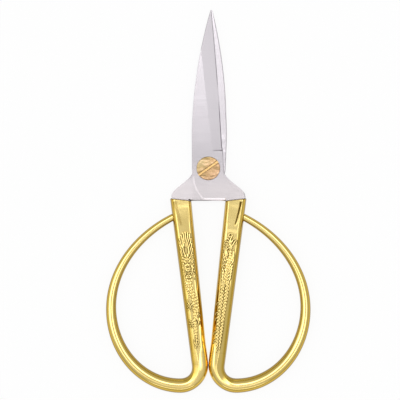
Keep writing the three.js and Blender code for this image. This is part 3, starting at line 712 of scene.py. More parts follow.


class Relief:
    """A height over points (u, s) of a bar's face that figures are laid on, each over what lies below it, and a
    painted shade that is 1 where shade falls: round each figure, under its scales and between its barbs."""

    def __init__(self, u, s):
        self.u, self.s = u, s
        self.height, self.shade = np.zeros_like(u), np.zeros_like(u)

    def near(self, line, reach):
        """The points in a box that goes past the line by reach, with what near_line says of them."""
        low, high = line.min(0) - reach, line.max(0) + reach
        at = np.nonzero((self.u > low[0]) & (self.u < high[0]) & (self.s > low[1]) & (self.s < high[1]))[0]
        return at, *near_line(self.u[at], self.s[at], line)

    def lay(self, at, height, outside, shade=0.0):
        """Puts a figure over what is lower; its rim takes painted shade of 1 - (distance outside its edge) / RIM_SHADE.
        """
        rim = np.where(outside > 0.0, unit(1.0 - outside / RIM_SHADE), 0.0)
        over = height > self.height[at]
        self.shade[at] = np.where(over, shade, np.maximum(self.shade[at], rim))
        self.height[at] = np.where(over, height, self.height[at])

    def stroke(self, wide, narrow, high, *lines):
        """Rounded ridges along smooth lines, high * (1 - (distance / half width)^2), narrowing from start to end."""
        for points in lines:
            at, away, _, share = self.near(smooth_line(points), wide + RIM_SHADE)
            half = mix(wide, narrow, share)
            self.lay(at, high * unit(1.0 - (away / half) ** 2), away - half)

    def groove(self, wide, deep, *lines):
        """Rounded furrows along smooth lines, darkened with painted shade."""
        for points in lines:
            at, away, _, _ = self.near(smooth_line(points), wide)
            hollow = unit(1.0 - (away / wide) ** 2)
            self.height[at] -= deep * hollow
            self.shade[at] = np.maximum(self.shade[at], hollow)

    def boss(self, half_u, half_s, high, *middles):
        """Rounded oval swellings."""
        for u, s in middles:
            away = ((self.u - u) / half_u) ** 2 + ((self.s - s) / half_s) ** 2
            outside = (np.sqrt(away) - 1.0) * min(half_u, half_s)
            self.lay(slice(None), high * unit(1.0 - away) ** CROWN_POWER, outside)

    def limb(self, points, high):
        """A crowned band along (u, s, half width) points; gives its points, running length, share across, height and
        half width."""
        p = smooth_line(points)
        line = p[:, :2]
        at, away, side, share = self.near(line, p[:, 2].max() * BAND_REACH)
        steps = np.hypot(*np.diff(line, axis=0).T)
        run = np.concatenate([[0.0], np.cumsum(steps)])
        half = np.interp(share * run[-1], run, p[:, 2])
        across = side * away / half
        crown = high * unit(1.0 - across**2) ** CROWN_POWER
        return at, share * run[-1], across, crown, half

    def scaled(self, points, high, pitch, columns, bite):
        """A band under rows of overlapping scales: each scale rises to a round tip, which drops onto the next row."""
        at, along, across, crown, half = self.limb(points, high)
        row = np.floor(along / pitch)
        tips = []
        for back in (1, 0):
            shift = 0.5 * ((row - back) % 2)
            beside = (across * columns / 2 + shift) % 1.0 - 0.5
            forth = along / pitch - (row - back)
            tip = forth / SCALE_LENGTH
            tips.append((tip, (beside / SCALE_HALF_WIDTH) ** 2 + tip**2))
        covered = tips[0][1] < 1.0
        rise = np.where(covered, tips[0][0], tips[1][0])
        # painted shade under each scale's tip
        shade = np.where(covered, 0.0, unit(SCALE_SHADE - (tips[0][1] - 1.0) / SCALE_SHADE_REACH))
        inside = np.abs(across) < 1.0
        self.lay(at, np.where(inside, np.maximum(SCALE_LEAST, crown - bite * (1.0 - rise)), 0.0),
                 (np.abs(across) - 1.0) * half, shade)
        return at, along, across

    def fin(self, at, along, across, start, end, pitch, side, reach, high):
        """Teeth along a band's side, each a triangle that leans down the band."""
        out = side * across - FIN_ROOT
        inside = (along > start) & (along < end) & (out > 0.0) & (out < reach)
        tooth = ((along - FIN_LEAN * out) / pitch) % 1.0
        fall = 1.0 - out / reach
        ridge = unit(1.0 - np.abs(tooth - 0.5) * 2.0 / np.maximum(fall, FIN_POINT))
        self.lay(at, np.where(inside, high * ridge, 0.0), np.full_like(out, RIM_SHADE))

    def plume(self, points, high, pitch, lean):
        """A feather: a raised shaft with round barbs that lean down from it, set half a pitch apart on its two sides,
        each rounded across itself, with painted shade in the valley to the next one."""
        at, along, across, crown, half = self.limb(points, high)
        barb = ((along - lean * np.abs(across) * half) / pitch + 0.5 * (across < 0.0)) % 1.0
        shaft = unit(1.0 - (across / SHAFT_HALF_WIDTH) ** 2)
        swell = np.maximum(mix(BARB_VALLEY, 1.0, np.sin(np.pi * barb) ** CROWN_POWER), shaft)
        shade = smoothstep(np.abs(barb - 0.5), *BARB_SHADE) * (1.0 - shaft)
        inside = np.abs(across) < 1.0
        self.lay(at, np.where(inside, crown * swell, 0.0), (np.abs(across) - 1.0) * half, shade)


def dragon(relief):
    """Mane and antlers over a broad head, a scaled body that winds down the bar on clawed legs, and a tufted tail."""
    relief.stroke(
        0.46, 0.2, 0.2,
        [(-2.6, 18.4), (-2.2, 20.4), (-1.1, 22.8), (-0.5, 25.6)],
        [(-3.1, 20.6), (-2.7, 22.4), (-1.6, 24.8), (-0.8, 27.4)],
        [(-3.3, 23.2), (-2.8, 24.8), (-1.9, 26.8), (-1.1, 29.0)],
        [(-3.3, 25.9), (-2.9, 27.4), (-2.2, 29.0), (-1.6, 30.8)],
        [(-1.6, 17.5), (-1.4, 19.6), (-0.4, 22.4), (0.0, 25.2)],
        [(-0.4, 17.1), (-0.3, 19.4), (0.3, 22.0), (0.5, 24.8)],
        [(0.8, 17.5), (0.6, 19.3), (1.0, 21.4), (1.0, 24.4)],
        [(1.9, 18.5), (1.6, 20.2), (1.7, 22.2), (1.6, 25.0)],
        [(3.1, 20.6), (2.5, 21.7), (2.4, 23.6), (2.1, 26.2)],
        [(3.3, 23.6), (3.0, 25.0), (2.6, 26.8), (2.2, 28.8)],
        [(3.3, 26.5), (3.1, 27.8), (2.8, 29.2), (2.4, 31.0)],
    )
    relief.boss(1.9, 2.9, 0.24, (0.3, 31.2))
    relief.boss(1.3, 2.9, 0.28, (0.5, 35.2))
    relief.stroke(0.38, 0.2, 0.3, [(0.9, 29.4), (1.5, 27.2), (1.5, 24.6), (0.9, 22.6), (0.2, 21.9)])
    relief.stroke(0.34, 0.18, 0.3, [(1.6, 25.4), (2.4, 23.2), (2.6, 21.2)])
    relief.stroke(0.38, 0.2, 0.3, [(-0.3, 29.4), (-1.0, 27.4), (-1.1, 25.4), (-1.9, 23.4)])
    for side in (-1.0, 1.0):
        brow = [(0.35 + side * 1.8, 30.2), (0.35 + side * 1.0, 31.4), (0.35 + side * 0.4, 32.9)]
        relief.stroke(0.34, 0.2, 0.32, brow)
        relief.boss(0.4, 0.45, 0.34, (0.35 + side * 0.95, 32.8))
        relief.groove(0.2, 0.16, [(0.35 + side * 1.35, 33.4), (0.35 + side * 0.8, 33.7), (0.35 + side * 0.4, 33.4)])
        relief.boss(0.38, 0.42, 0.34, (0.45 + side * 0.55, 37.1))
        whisker = [(0.4 + side * 1.3, 37.3), (0.4 + side * 2.4, 36.6), (0.4 + side * 2.7, 34.4),
                   (0.2 + side * 2.5, 32.6)]
        relief.stroke(0.24, 0.14, 0.22, whisker)
    relief.groove(
        0.24, 0.16,
        [(0.45, 33.6), (0.45, 36.2)], [(-0.5, 34.9), (0.45, 35.5), (1.4, 34.9)], [(0.35, 28.6), (0.3, 30.4)],
        [(-1.1, 29.6), (-0.6, 30.6), (-0.9, 31.6), (-0.2, 32.2)], [(1.7, 29.6), (1.2, 30.6), (1.5, 31.6), (0.9, 32.2)],
        [(-0.4, 30.2), (0.3, 30.9), (1.0, 30.2)], [(-0.2, 36.3), (0.45, 36.8), (1.1, 36.3)],
        [(-0.5, 35.9), (-0.1, 35.6), (0.1, 34.6)], [(1.4, 35.9), (1.0, 35.6), (0.8, 34.6)],
    )
    relief.stroke(0.34, 0.24, 0.3, [(-1.7, 34.6), (-1.9, 36.8), (-1.2, 39.0), (0.2, 40.0), (1.5, 39.7), (2.2, 38.2)])
    relief.boss(
        0.24, 0.34, 0.26,
        (-0.8, 38.2), (-0.2, 38.7), (0.5, 38.9), (1.1, 38.6), (1.6, 38.0),
    )
    relief.boss(
        0.42, 0.55, 0.18,
        (-3.1, 29.2), (-2.4, 30.9), (-3.2, 31.6), (-2.3, 33.0), (-3.0, 34.2), (2.6, 30.2), (3.1, 31.8),
        (2.5, 33.4), (-2.6, 36.0), (3.0, 35.4), (-2.9, 37.6), (2.9, 37.4),
    )
    relief.stroke(
        0.34, 0.16, 0.22,
        [(-2.2, 38.6), (-3.0, 39.2), (-3.1, 40.2)], [(-1.2, 40.4), (-2.0, 40.9), (-2.4, 42.0)],
        [(2.4, 39.2), (2.9, 40.2), (2.6, 41.4)],
    )
    body = [(0.4, 40.2, 1.5), (0.7, 43.0, 1.6), (0.5, 46.2, 1.5), (-0.3, 49.6, 1.35), (-1.0, 53.2, 1.2),
            (-1.1, 56.8, 1.1), (-0.7, 60.4, 1.05), (-0.2, 64.2, 1.0), (-0.1, 68.0, 0.9), (0.0, 71.2, 0.7),
            (0.3, 73.6, 0.4)]
    at, along, across = relief.scaled(body, 0.32, 1.5, 3, 0.22)
    relief.groove(
        0.24, 0.16,
        [(-0.9, 39.2), (-0.2, 40.1), (0.5, 40.4), (1.2, 40.1), (1.8, 39.3)], [(-0.5, 41.2), (0.4, 41.7), (1.3, 41.2)],
        [(0.4, 40.6), (0.5, 41.6)], [(-0.4, 39.0), (0.4, 39.5), (1.2, 39.0)],
    )
    relief.fin(at, along, across, 0.8, 12.0, 1.05, -1.0, 0.55, 0.26)
    relief.fin(at, along, across, 9.5, 22.0, 1.5, 1.0, 0.75, 0.24)
    relief.fin(at, along, across, 24.0, 31.0, 1.2, -1.0, 0.6, 0.2)
    relief.stroke(
        0.62, 0.42, 0.28,
        [(-0.6, 54.4), (0.5, 55.0), (1.4, 55.3)], [(0.0, 62.8), (1.0, 63.6), (1.7, 64.3)],
        [(-1.4, 57.4), (-2.1, 58.6), (-2.1, 59.9)], [(-0.9, 62.2), (-1.6, 63.0), (-1.9, 64.1)],
    )
    relief.stroke(
        0.34, 0.14, 0.3,
        [(1.3, 55.2), (2.1, 54.2), (2.6, 53.0), (2.3, 52.2)], [(1.4, 55.3), (2.5, 54.9), (3.4, 54.1)],
        [(1.4, 55.4), (2.5, 55.8), (3.4, 56.3)], [(1.3, 55.5), (2.1, 56.7), (2.9, 57.6)],
        [(1.1, 55.5), (1.2, 57.0), (0.5, 58.3)], [(1.6, 64.2), (2.3, 63.3), (3.1, 62.9)],
        [(1.7, 64.3), (2.6, 64.5), (3.3, 64.9)], [(1.6, 64.4), (2.3, 65.6), (2.9, 66.5)],
        [(1.5, 64.4), (1.5, 65.8), (1.8, 67.0)], [(-2.1, 59.7), (-2.8, 60.3), (-3.1, 61.2)],
        [(-2.1, 59.8), (-2.2, 60.9), (-2.5, 61.9)], [(-2.0, 59.7), (-1.5, 60.6), (-1.6, 61.5)],
        [(-1.9, 64.0), (-2.5, 64.6), (-2.8, 65.5)], [(-1.9, 64.1), (-1.8, 65.0), (-1.9, 66.0)],
    )
    relief.stroke(
        0.34, 0.16, 0.26,
        [(0.3, 72.6), (1.2, 73.2), (1.6, 74.6), (1.0, 75.4), (0.7, 74.7)],
        [(0.1, 72.8), (-0.5, 74.0), (-1.0, 75.6), (-0.6, 76.8), (0.0, 76.4), (-0.2, 75.6)],
        [(0.3, 73.2), (0.5, 75.4), (0.4, 77.6)], [(1.0, 75.6), (1.3, 76.6), (1.1, 77.8)],
    )


def phoenix(relief):
    """Curled plumes over a small head, spread wings, a scaled breast and long tail feathers to a point."""
    relief.stroke(
        0.42, 0.24, 0.24,
        [(0.1, 24.2), (0.0, 22.4), (-0.4, 20.6), (0.2, 18.8), (-0.6, 17.7), (-1.6, 18.6), (-1.2, 19.8), (-0.7, 19.2)],
        [(-0.3, 24.4), (-1.0, 22.8), (-2.2, 22.0), (-3.2, 22.6), (-3.0, 23.6), (-2.4, 23.4)],
        [(0.6, 24.4), (1.4, 22.8), (2.2, 21.2), (3.0, 21.6), (2.7, 22.8)],
        [(-0.2, 22.8), (-1.1, 21.4), (-2.0, 20.6), (-2.5, 21.1)], [(0.2, 22.4), (0.9, 20.9), (1.6, 20.2), (1.9, 20.8)],
    )
    relief.stroke(
        0.5, 0.2, 0.24,
        [(-1.2, 31.6), (-2.5, 28.8), (-3.5, 25.4)], [(-1.3, 30.4), (-2.2, 27.8), (-2.9, 24.5)],
        [(-1.1, 29.4), (-1.7, 27.2), (-2.1, 24.6)], [(-1.5, 32.6), (-2.8, 30.8), (-3.5, 28.4)],
        [(1.2, 31.0), (1.6, 28.4), (1.4, 25.2)], [(1.5, 32.0), (2.1, 29.6), (2.1, 26.8)],
        [(1.7, 33.2), (2.4, 31.4), (2.6, 29.0)], [(-1.8, 29.4), (-2.5, 30.4), (-3.2, 31.2)],
    )
    neck = [(0.1, 25.4, 0.8), (0.4, 27.6, 0.8), (0.3, 29.8, 1.0), (0.1, 32.2, 1.5), (0.0, 35.2, 1.8),
            (-0.2, 38.2, 1.6), (-0.5, 41.4, 1.2), (-0.6, 44.0, 0.8)]
    relief.scaled(neck, 0.3, 1.4, 3, 0.2)
    relief.boss(1.0, 1.1, 0.34, (0.1, 25.0))
    relief.stroke(0.36, 0.16, 0.3, [(-0.6, 25.2), (-1.5, 25.8), (-1.6, 26.7)])
    relief.groove(0.2, 0.2, [(-0.45, 24.4), (-0.2, 24.7), (-0.5, 24.95)])
    relief.stroke(
        0.36, 0.2, 0.24,
        [(-1.5, 31.9), (-2.4, 32.3), (-2.9, 33.3), (-2.5, 34.3), (-1.9, 33.9), (-2.1, 33.2)],
        [(-1.7, 35.6), (-2.4, 35.4), (-3.0, 36.0), (-3.0, 37.0), (-2.5, 37.1), (-2.5, 36.5)],
    )
    for k in range(5):
        drop = 1.55 * k
        relief.stroke(0.5, 0.24, 0.28, [(2.2 - 0.1 * k, 34.2 + drop), (1.2, 36.0 + drop), (-0.1, 37.6 + drop)])
        relief.stroke(0.5, 0.24, 0.26, [(-2.7 + 0.1 * k, 36.8 + drop), (-1.9, 38.4 + drop), (-0.9, 39.8 + drop)])
    relief.plume([(-1.5, 43.0, 0.9), (-1.7, 47.0, 1.1), (-1.6, 52.0, 1.1), (-1.7, 57.5, 1.1), (-1.7, 63.0, 1.05),
                  (-1.5, 69.0, 0.95), (-1.2, 74.5, 0.8), (-0.9, 79.6, 0.3)], 0.3, 1.75, 0.9)
    relief.plume([(0.6, 43.0, 0.8), (0.7, 47.0, 1.05), (0.6, 52.0, 1.05), (0.4, 57.5, 1.0), (0.3, 63.0, 0.95),
                  (0.3, 69.0, 0.85), (0.3, 74.0, 0.7), (0.2, 78.6, 0.3)], 0.3, 1.75, 0.9)
    for u, s in ((-1.8, 48.4), (-1.7, 58.6), (0.5, 54.0), (-1.6, 67.4), (0.3, 65.0)):
        relief.boss(0.62, 0.85, 0.33, (u, s))
        relief.groove(0.17, 0.14, [(u - 0.5, s - 0.3), (u, s - 0.75), (u + 0.5, s - 0.3)])
        relief.groove(0.2, 0.14, [(u - 0.2, s + 0.1), (u + 0.2, s + 0.1)])
    relief.stroke(
        0.36, 0.18, 0.24,
        [(-2.6, 54.2), (-3.4, 54.6), (-3.8, 55.6)], [(-2.9, 59.4), (-3.5, 60.0), (-3.7, 61.0)],
        [(-2.8, 62.2), (-3.4, 62.8), (-3.6, 63.8)], [(-2.5, 69.4), (-3.3, 70.0), (-3.6, 71.0)],
        [(-2.2, 73.6), (-2.9, 74.4), (-3.2, 75.6)],
    )


RELIEF_FIELD = 0.2  # the relief stands in a field sunk by this, so its tops are level with the bar
RELIEF_START, RELIEF_END = 6.0, 87.0  # lengths down the bar
FIELD_TOP = 18.5
FIELD_FRONT_START = 14.5
FIELD_BACK_START = 7.0
FIELD_END = (74.0, 86.0)
FIELD_SIDE = (0.62, 0.9)  # it fades out over these shares of the bar's half width
FIGURE_SIDE = (0.8, 0.95)  # and the figure over these
FACE_SINE = 0.3  # a face is where the section's sine is past this
RELIEF_PROUD = 0.03  # the relief's tops are worn off this far above the bar
WEAR_STEPS = (-3, 0, 3)  # a point's height is held against the mean of the points at these steps
WEAR_HEIGHT = 0.09  # this much above that mean, a point is wholly worn
SHADE_WEAR = 0.4  # what the painted shade takes off the wear


def face_relief(u, s, half, figure, start):
    """Height of a bar's face over its plain form, a sunk field that fades in at both ends and sides and a figure in
    it, and the figure's painted shade."""
    field = smoothstep(s, start, FIELD_TOP) * smoothdrop(s, *FIELD_END)
    field = field * smoothdrop(np.abs(u) / half, *FIELD_SIDE)
    relief = Relief(u.ravel(), s.ravel())
    figure(relief)
    fade = smoothdrop(np.abs(u) / half, *FIGURE_SIDE)
    return -RELIEF_FIELD * field + relief.height.reshape(u.shape) * fade, relief.shade.reshape(u.shape) * fade


CREASE_DEPTH = 0.15  # of the furrow along the facet's outer side, at the mouth
CREASE_WIDTH = 1.25  # of the furrow's wall on the front
CREASE_RISE = 2.6
CREASE_FOOT_SHARE = 0.5  # of these that is left at the facet's foot
CREASE_SOFT_WIDTH = 2.0  # of the furrow's wall on the back
CREASE_SOFT_DEPTH = 0.1  # of the depth on the front
# share of the front's painted shade that the back's furrow takes
CREASE_SOFT_SHADE = 0.55
CREASE_SHADE, CREASE_SHADE_FALL = 2.0, 2.6  # painted shade in the middle of the wall, and how it falls to both sides
LIP_WIDTH = 0.55
LIP_SLOPE = 0.35
LIP_DEPTH = 0.05
LIP_FADE = (2.0, 5.0)


def facet_drop(u, s, front):
    """What the thumb facet takes off a bar's face: a plane that tilts inward from a slanting, slightly bowed crease,
    and a furrow that falls across its wall just outside the crease and rises slowly again, with a lip left standing
    along the mouth. Also gives the share of painted shade in the furrow, which is narrow and dark on the front and
    wide and faint on the back."""
    share = np.clip(s / FACET_LENGTH, 0.0, FACET_PAST)
    taper = mix(1.0, CREASE_FOOT_SHARE, share)
    away = u - mix(FACET_CREASE_TOP, FACET_CREASE_FOOT, share) - 4.0 * FACET_CREASE_BOW * share * (1.0 - share)
    foot, back_foot = (smoothdrop(s / FACET_LENGTH, *ends) for ends in (FACET_FOOT, FACET_BACK_FOOT))
    slope = np.tan(np.where(front, FACET_TILT, FACET_BACK_TILT))
    plane = slope * np.maximum(0.0, -away) * np.where(front, foot, back_foot)
    wall_width = np.where(front, CREASE_WIDTH, CREASE_SOFT_WIDTH) * taper
    wall = smoothstep(away, 0.0, wall_width)
    slow = unit(1.0 - (away - wall_width) / (CREASE_RISE * taper))
    furrow = CREASE_DEPTH * taper * foot * np.minimum(wall, slow) * np.where(front, 1.0, CREASE_SOFT_DEPTH)
    lip = smoothstep(s, LIP_WIDTH, LIP_WIDTH + LIP_SLOPE)
    below_lip = LIP_DEPTH * lip * smoothdrop(s, *LIP_FADE)
    crease_shade = unit(CREASE_SHADE - CREASE_SHADE_FALL * np.abs(away / wall_width - 0.5)) * foot * lip
    return plane, furrow * lip + below_lip, crease_shade * np.where(front, 1.0, CREASE_SOFT_SHADE)


ARRIS_TOP = 3.4  # a bar's face ends outward in an arris that runs from here at the mouth
ARRIS_FRONT_FOOT = 0.0  # to here where the bar ends, and falls away beyond it
ARRIS_BACK_FOOT = 0.6
ARRIS_FALL = math.tan(math.radians(22.0))
CREST = 0.5  # inward of here the back face turns round, ever more towards the bend
CREST_RADIUS = 8.2
CREST_START, CREST_FULL = 72.0, 82.0
BEND_FADE = (0.3, 1.0)  # shares of the bend


def face_fall(u, s, front, bend):
    """How far a bar's face lies below its flat: beyond the slanting arris by a plane, and on the back, inward of the
    crest, by (crest - u)^2 / (2 radius), which comes in before the bend. Both fade out through the bend by its
    share."""
    arris = mix(ARRIS_TOP, np.where(front, ARRIS_FRONT_FOOT, ARRIS_BACK_FOOT), unit(s / BAR_LENGTH))
    beyond = ARRIS_FALL * np.maximum(0.0, u - arris)
    turned_in = smoothstep(s, CREST_START, CREST_FULL) * np.maximum(0.0, CREST - u) ** 2 / (2.0 * CREST_RADIUS)
    return (beyond + np.where(front, 0.0, turned_in)) * smoothdrop(bend, *BEND_FADE)


INNER_ARRIS = 1.1  # towards the bend a bar's inner side has an arris this far from its flat
INNER_CROWN = 0.08  # up to it the side falls by this times the square of the distance
INNER_WALL = 2.0  # and beyond it by this slope
INNER_WALL_FOOT = (0.3, 1.2)  # which fades out over these heights off the middle plane
INNER_WALL_START, INNER_WALL_FULL = 40.0, 58.0
INNER_WALL_HOLD, INNER_WALL_END = 60.0, 84.0
FLANK_LIGHT = 0.36  # the bars' flanks take less painted shade than the loops'
FALL_SHADE = 0.1  # and more painted shade beyond the arris
FALL_SHADE_FULL = 0.12  # wholly so where the face has fallen by this
MEETING_GLOW = 0.9  # painted reflection of the other bar: most light on the sides that face each other
MEETING_ABOVE, MEETING_BELOW = (10.0, 50.0), (3.0, 14.0)  # lengths from the bar's end over which this fades
TOUCHING_GLOW = 0.8  # but less again where they all but touch
UPPER_SIDE = (0.55, 0.9)  # sines of the section over which the crease comes in
MOUTH_SHADE = (0.1, 0.6)  # painted shade darkens the plating up to these lengths from the mouth, in the joint


def handle_track():
    """Stations along the handle, and at each one the centre line's point and heading and the section's width,
    thickness and flat, with corners eased; and the lengths at which the bar and the bend end."""
    line, run, knots = centre_line()
    bar_end, _, bend_end, waist_at, end = knots
    stations = np.concatenate([
        MOUTH_ROUND * (1.0 - np.cos(np.linspace(0.0, math.pi / 2, MOUTH_SECTIONS))),
        *(np.arange(*steps) for steps in BAR_STEPS),
        np.arange(BAR_STEPS[-1][1], bar_end, FOOT_STEP), np.linspace(bar_end, bend_end, BEND_SECTIONS),
        np.linspace(bend_end, waist_at, FOOT_SECTIONS)[1:], np.linspace(waist_at, end - LOOP_JOIN, CROWN_SECTIONS)[1:],
        np.linspace(end - LOOP_JOIN, end - LOOP_STOP, JOIN_SECTIONS)[1:]])
    past_bar, past_loop = (smoothstep(run, at - EASE_START, at - EASE_FULL) for at in (bar_end, end))
    track = np.stack([eased(line[:, k], run, LINE_EASE) for k in range(2)], -1)
    track = mix(line, track, (past_bar * (1.0 - past_loop))[:, None])
    heading = np.gradient(track, run, axis=0)
    point, aim = (np.stack([np.interp(stations, run, path[:, k]) for k in range(2)], -1) for path in (track, heading))
    aim /= np.hypot(*aim.T)[:, None]
    sections = np.array([BAR_TOP, BAR_FOOT, BEND_MIDDLE, LOOP_FOOT, LOOP_WAIST, LOOP_END])
    sizes = [eased(np.interp(run, (0.0, *knots), sections[:, k]), run, SECTION_EASE) for k in range(3)]
    return stations, point, aim, [np.interp(stations, run, size)[:, None] for size in sizes], bar_end, bend_end


def handle_rings():
    """A handle about the plane z = 0 as sections carried along its centre line, from the tang's socket through the
    bar, the bend and the loop into the bar's side, with the facet and the relief on both faces of the bar and a steep
    wall on its inner side. Also gives two shares at each point: the wear and shade, above 0.5 on the relief's tops and
    below it in its hollows and, as painted shade, round its figures, in the facet's crease and at the mouth; and the
    painted flank light, which is 1 on the faces, falls to 0 down the sides as painted shade and is raised where the
    bars face each other as a painted reflection of the other bar."""
    stations, point, aim, (width, thick, flat), bar_end, bend_end = handle_track()
    down = stations[:, None]
    rounded = MOUTH_ROUND - np.sqrt(MOUTH_ROUND**2 - np.clip(MOUTH_ROUND - down, 0.0, None) ** 2)
    width, thick = width - 2.0 * rounded, thick - 2.0 * rounded

    share, cosine, sine = section_outline()
    inner, front = cosine < 0.0, sine > 0.0
    corner = (width - flat) / 2.0
    swell = INNER_SWELL * smoothdrop(np.abs(down - bar_end), *SWELL_FADE)
    u = share * flat / 2.0 + corner * cosine + swell * np.minimum(0.0, cosine)
    z = thick / 2.0 * sine
    normal = np.stack(np.broadcast_arrays(cosine / corner, sine / (thick / 2.0)))
    normal_u, normal_z = normal / np.hypot(*normal)

    beyond = np.maximum(0.0, -u - flat / 2.0)
    fallen = np.maximum(INNER_CROWN * beyond**2, INNER_CROWN * INNER_ARRIS**2 + INNER_WALL * (beyond - INNER_ARRIS))
    touching = smoothstep(down, INNER_WALL_HOLD, INNER_WALL_END)
    walled = smoothstep(down, INNER_WALL_START, INNER_WALL_FULL) * (1.0 - touching)
    walled = walled * inner * smoothstep(np.abs(z), *INNER_WALL_FOOT)
    z = z + np.sign(sine) * walled * (thick / 2.0 - fallen - np.abs(z))

    slant = math.tan(MOUTH_SLANT + BAR_LEAN)
    skew = slant * smoothdrop(down, MOUTH_ROUND, MOUTH_FADE)
    s = down - skew * u
    lift, shade = np.zeros_like(u), np.zeros_like(u)
    bar = np.nonzero((stations > RELIEF_START) & (stations < RELIEF_END))[0]
    for face, figure, start in ((sine, phoenix, FIELD_FRONT_START), (-sine, dragon, FIELD_BACK_START)):
        patch = np.ix_(bar, np.nonzero(face > FACE_SINE)[0])
        lift[patch], shade[patch] = face_relief(u[patch], s[patch], width[bar] / 2.0, figure, start)
    around = sum(np.roll(lift, (i, j), (0, 1)) for i in WEAR_STEPS for j in WEAR_STEPS) / len(WEAR_STEPS) ** 2
    wear_and_shade = 0.5 + 0.5 * np.clip((lift - around) / WEAR_HEIGHT, -1.0, 1.0)
    wear_and_shade = np.minimum(wear_and_shade, 0.5 - SHADE_WEAR * shade)
    u, z = u + lift * normal_u, z + lift * normal_z

    # painted shade down the flanks: the painted flank light follows how far the section faces up or down
    painted_flank_light = mix(np.abs(normal_z), 1.0, FLANK_LIGHT * smoothdrop(down, bar_end, bend_end))
    # painted reflection of the other bar, light and amber on the sides that face each other
    meeting = smoothdrop(bar_end - down, *MEETING_ABOVE) * smoothdrop(down - bar_end, *MEETING_BELOW)
    painted_flank_light = np.maximum(painted_flank_light, mix(MEETING_GLOW, TOUCHING_GLOW, touching) * meeting * inner)

    plane, furrow, crease_shade = np.array(facet_drop(u, s, front)) * (down < FACET_REACH)
    bend = unit((down - bar_end) / (bend_end - bar_end))
    fall = face_fall(u, s, front, bend)
    # painted shade beyond the outer arris
    painted_flank_light = painted_flank_light - FALL_SHADE * smoothstep(fall, 0.0, FALL_SHADE_FULL) * (u > 0.0)
    upper = smoothstep(np.abs(sine), *UPPER_SIDE)
    pressed = np.minimum(np.abs(z), thick / 2.0 + rounded - plane - fall) - furrow * upper
    z = np.where(bend < 1.0, np.sign(z) * pressed, z)
    z = np.clip(z, -BAR_THICKNESS / 2.0 - RELIEF_PROUD, BAR_THICKNESS / 2.0 + RELIEF_PROUD)
    # painted shade in the facet's crease and in the joint at the mouth
    wear_and_shade = np.minimum(wear_and_shade * (1.0 - crease_shade * upper), 0.5 * smoothstep(down, *MOUTH_SHADE))

    outward = together(-aim[:, 1], aim[:, 0])
    place = point[:, None] + u[..., None] * outward[:, None] - (skew * u)[..., None] * aim[:, None]
    rings = np.concatenate([place, z[..., None]], -1)
    socket = socket_rings(share * BAR_TOP[2] / BAR_TOP[0] + cosine * (1 - BAR_TOP[2] / BAR_TOP[0]), sine, slant)
    # the socket and the collar carry 0 for both, which gives them the darkest painted shade, in the joint at the mouth
    inside = np.zeros((len(socket), len(share)))
    return np.concatenate([socket, rings]), np.concatenate([inside, wear_and_shade]), np.concatenate([inside, painted_flank_light])


COLLAR_RISE = 0.26  # the casting's skin closes on the steel at the mouth, which leaves a dark joint line
COLLAR_WIDTH = 0.97
COLLAR_THICKNESS = 0.62


def socket_rings(across, up, slant):
    """The tang's socket as two rectangles, at its bottom and at the mouth, and the collar round its mouth; a section's
    points are pushed out to the rectangles."""
    reach = np.maximum(np.abs(across), np.abs(up))
    low = BLADE_GAP / 2 + TANG_INSET - CAST_CLEARANCE
    high = BLADE_GAP / 2 + BLADE_THICKNESS - TANG_INSET + CAST_CLEARANCE
    z = mix(low, high, (up / reach + 1.0) / 2.0)
    rings = []
    for drop, width, skew in ((TANG_LENGTH + CAST_CLEARANCE, TANG_END_WIDTH, 0.0),
                              (-COLLAR_RISE, TANG_MOUTH_WIDTH, slant)):
        u = across / reach * (width / 2 + CAST_CLEARANCE)
        rings.append(together(*bar_point(u, drop - skew * u), z))
    u = across * (BAR_TOP[0] / 2 - MOUTH_ROUND) * COLLAR_WIDTH
    collar = together(*bar_point(u, -COLLAR_RISE - slant * u), up * BAR_THICKNESS / 2 * COLLAR_THICKNESS)
    return np.stack([*rings, collar])


# Pivot hardware


def screw_profile():
    """Half section of the screw: its end, shank, the head's underside and rounded rim, and a face with fine rings."""
    top = SCREW_HEAD_Z + SCREW_HEAD_HEIGHT
    turn = np.linspace(0.0, math.pi / 2, 7)
    rim = SCREW_HEAD_RADIUS - SCREW_HEAD_ROUND
    corner = together(rim + SCREW_HEAD_ROUND * np.cos(turn), top - SCREW_HEAD_ROUND * (1.0 - np.sin(turn)))
    radius = np.arange(rim - SCREW_CORE, SCREW_CORE, -SCREW_FACE_STEP)
    mark = sum(depth * np.cos(2.0 * math.pi * radius / pitch) for depth, pitch in SCREW_MARKS)
    face = together(radius, top - SCREW_FACE_SINK + mark - SCREW_FACE_FALL * (radius / rim) ** 4)
    foot = [(SCREW_CORE, 0.0), (SCREW_SHANK_RADIUS - SCREW_END_BREAK, 0.0), (SCREW_SHANK_RADIUS, SCREW_END_BREAK),
            (SCREW_SHANK_RADIUS, SCREW_HEAD_Z), (SCREW_HEAD_RADIUS - SCREW_HEAD_BREAK, SCREW_HEAD_Z),
            (SCREW_HEAD_RADIUS, SCREW_HEAD_Z + SCREW_HEAD_BREAK)]
    return np.concatenate([foot, corner, face])


def slot_cutter(low_half, high_half, depth):
    """A bar along the slot whose section widens from its bottom, low_half each way, to the screw's face, high_half."""
    top = SCREW_HEAD_Z + SCREW_HEAD_HEIGHT
    over = high_half + CUT_OVER * (high_half - low_half) / depth
    low, high = top - depth, top + CUT_OVER
    outline = np.array([(-low_half, low), (low_half, low), (over, high), (-over, high)])
    along = np.array([-SLOT_REACH, SLOT_REACH])[:, None] * SCREW_HEAD_RADIUS
    across, height = outline.T
    cos, sin = math.cos(SLOT_HEADING), math.sin(SLOT_HEADING)
    return together(along * cos - across * sin, along * sin + across * cos, height)


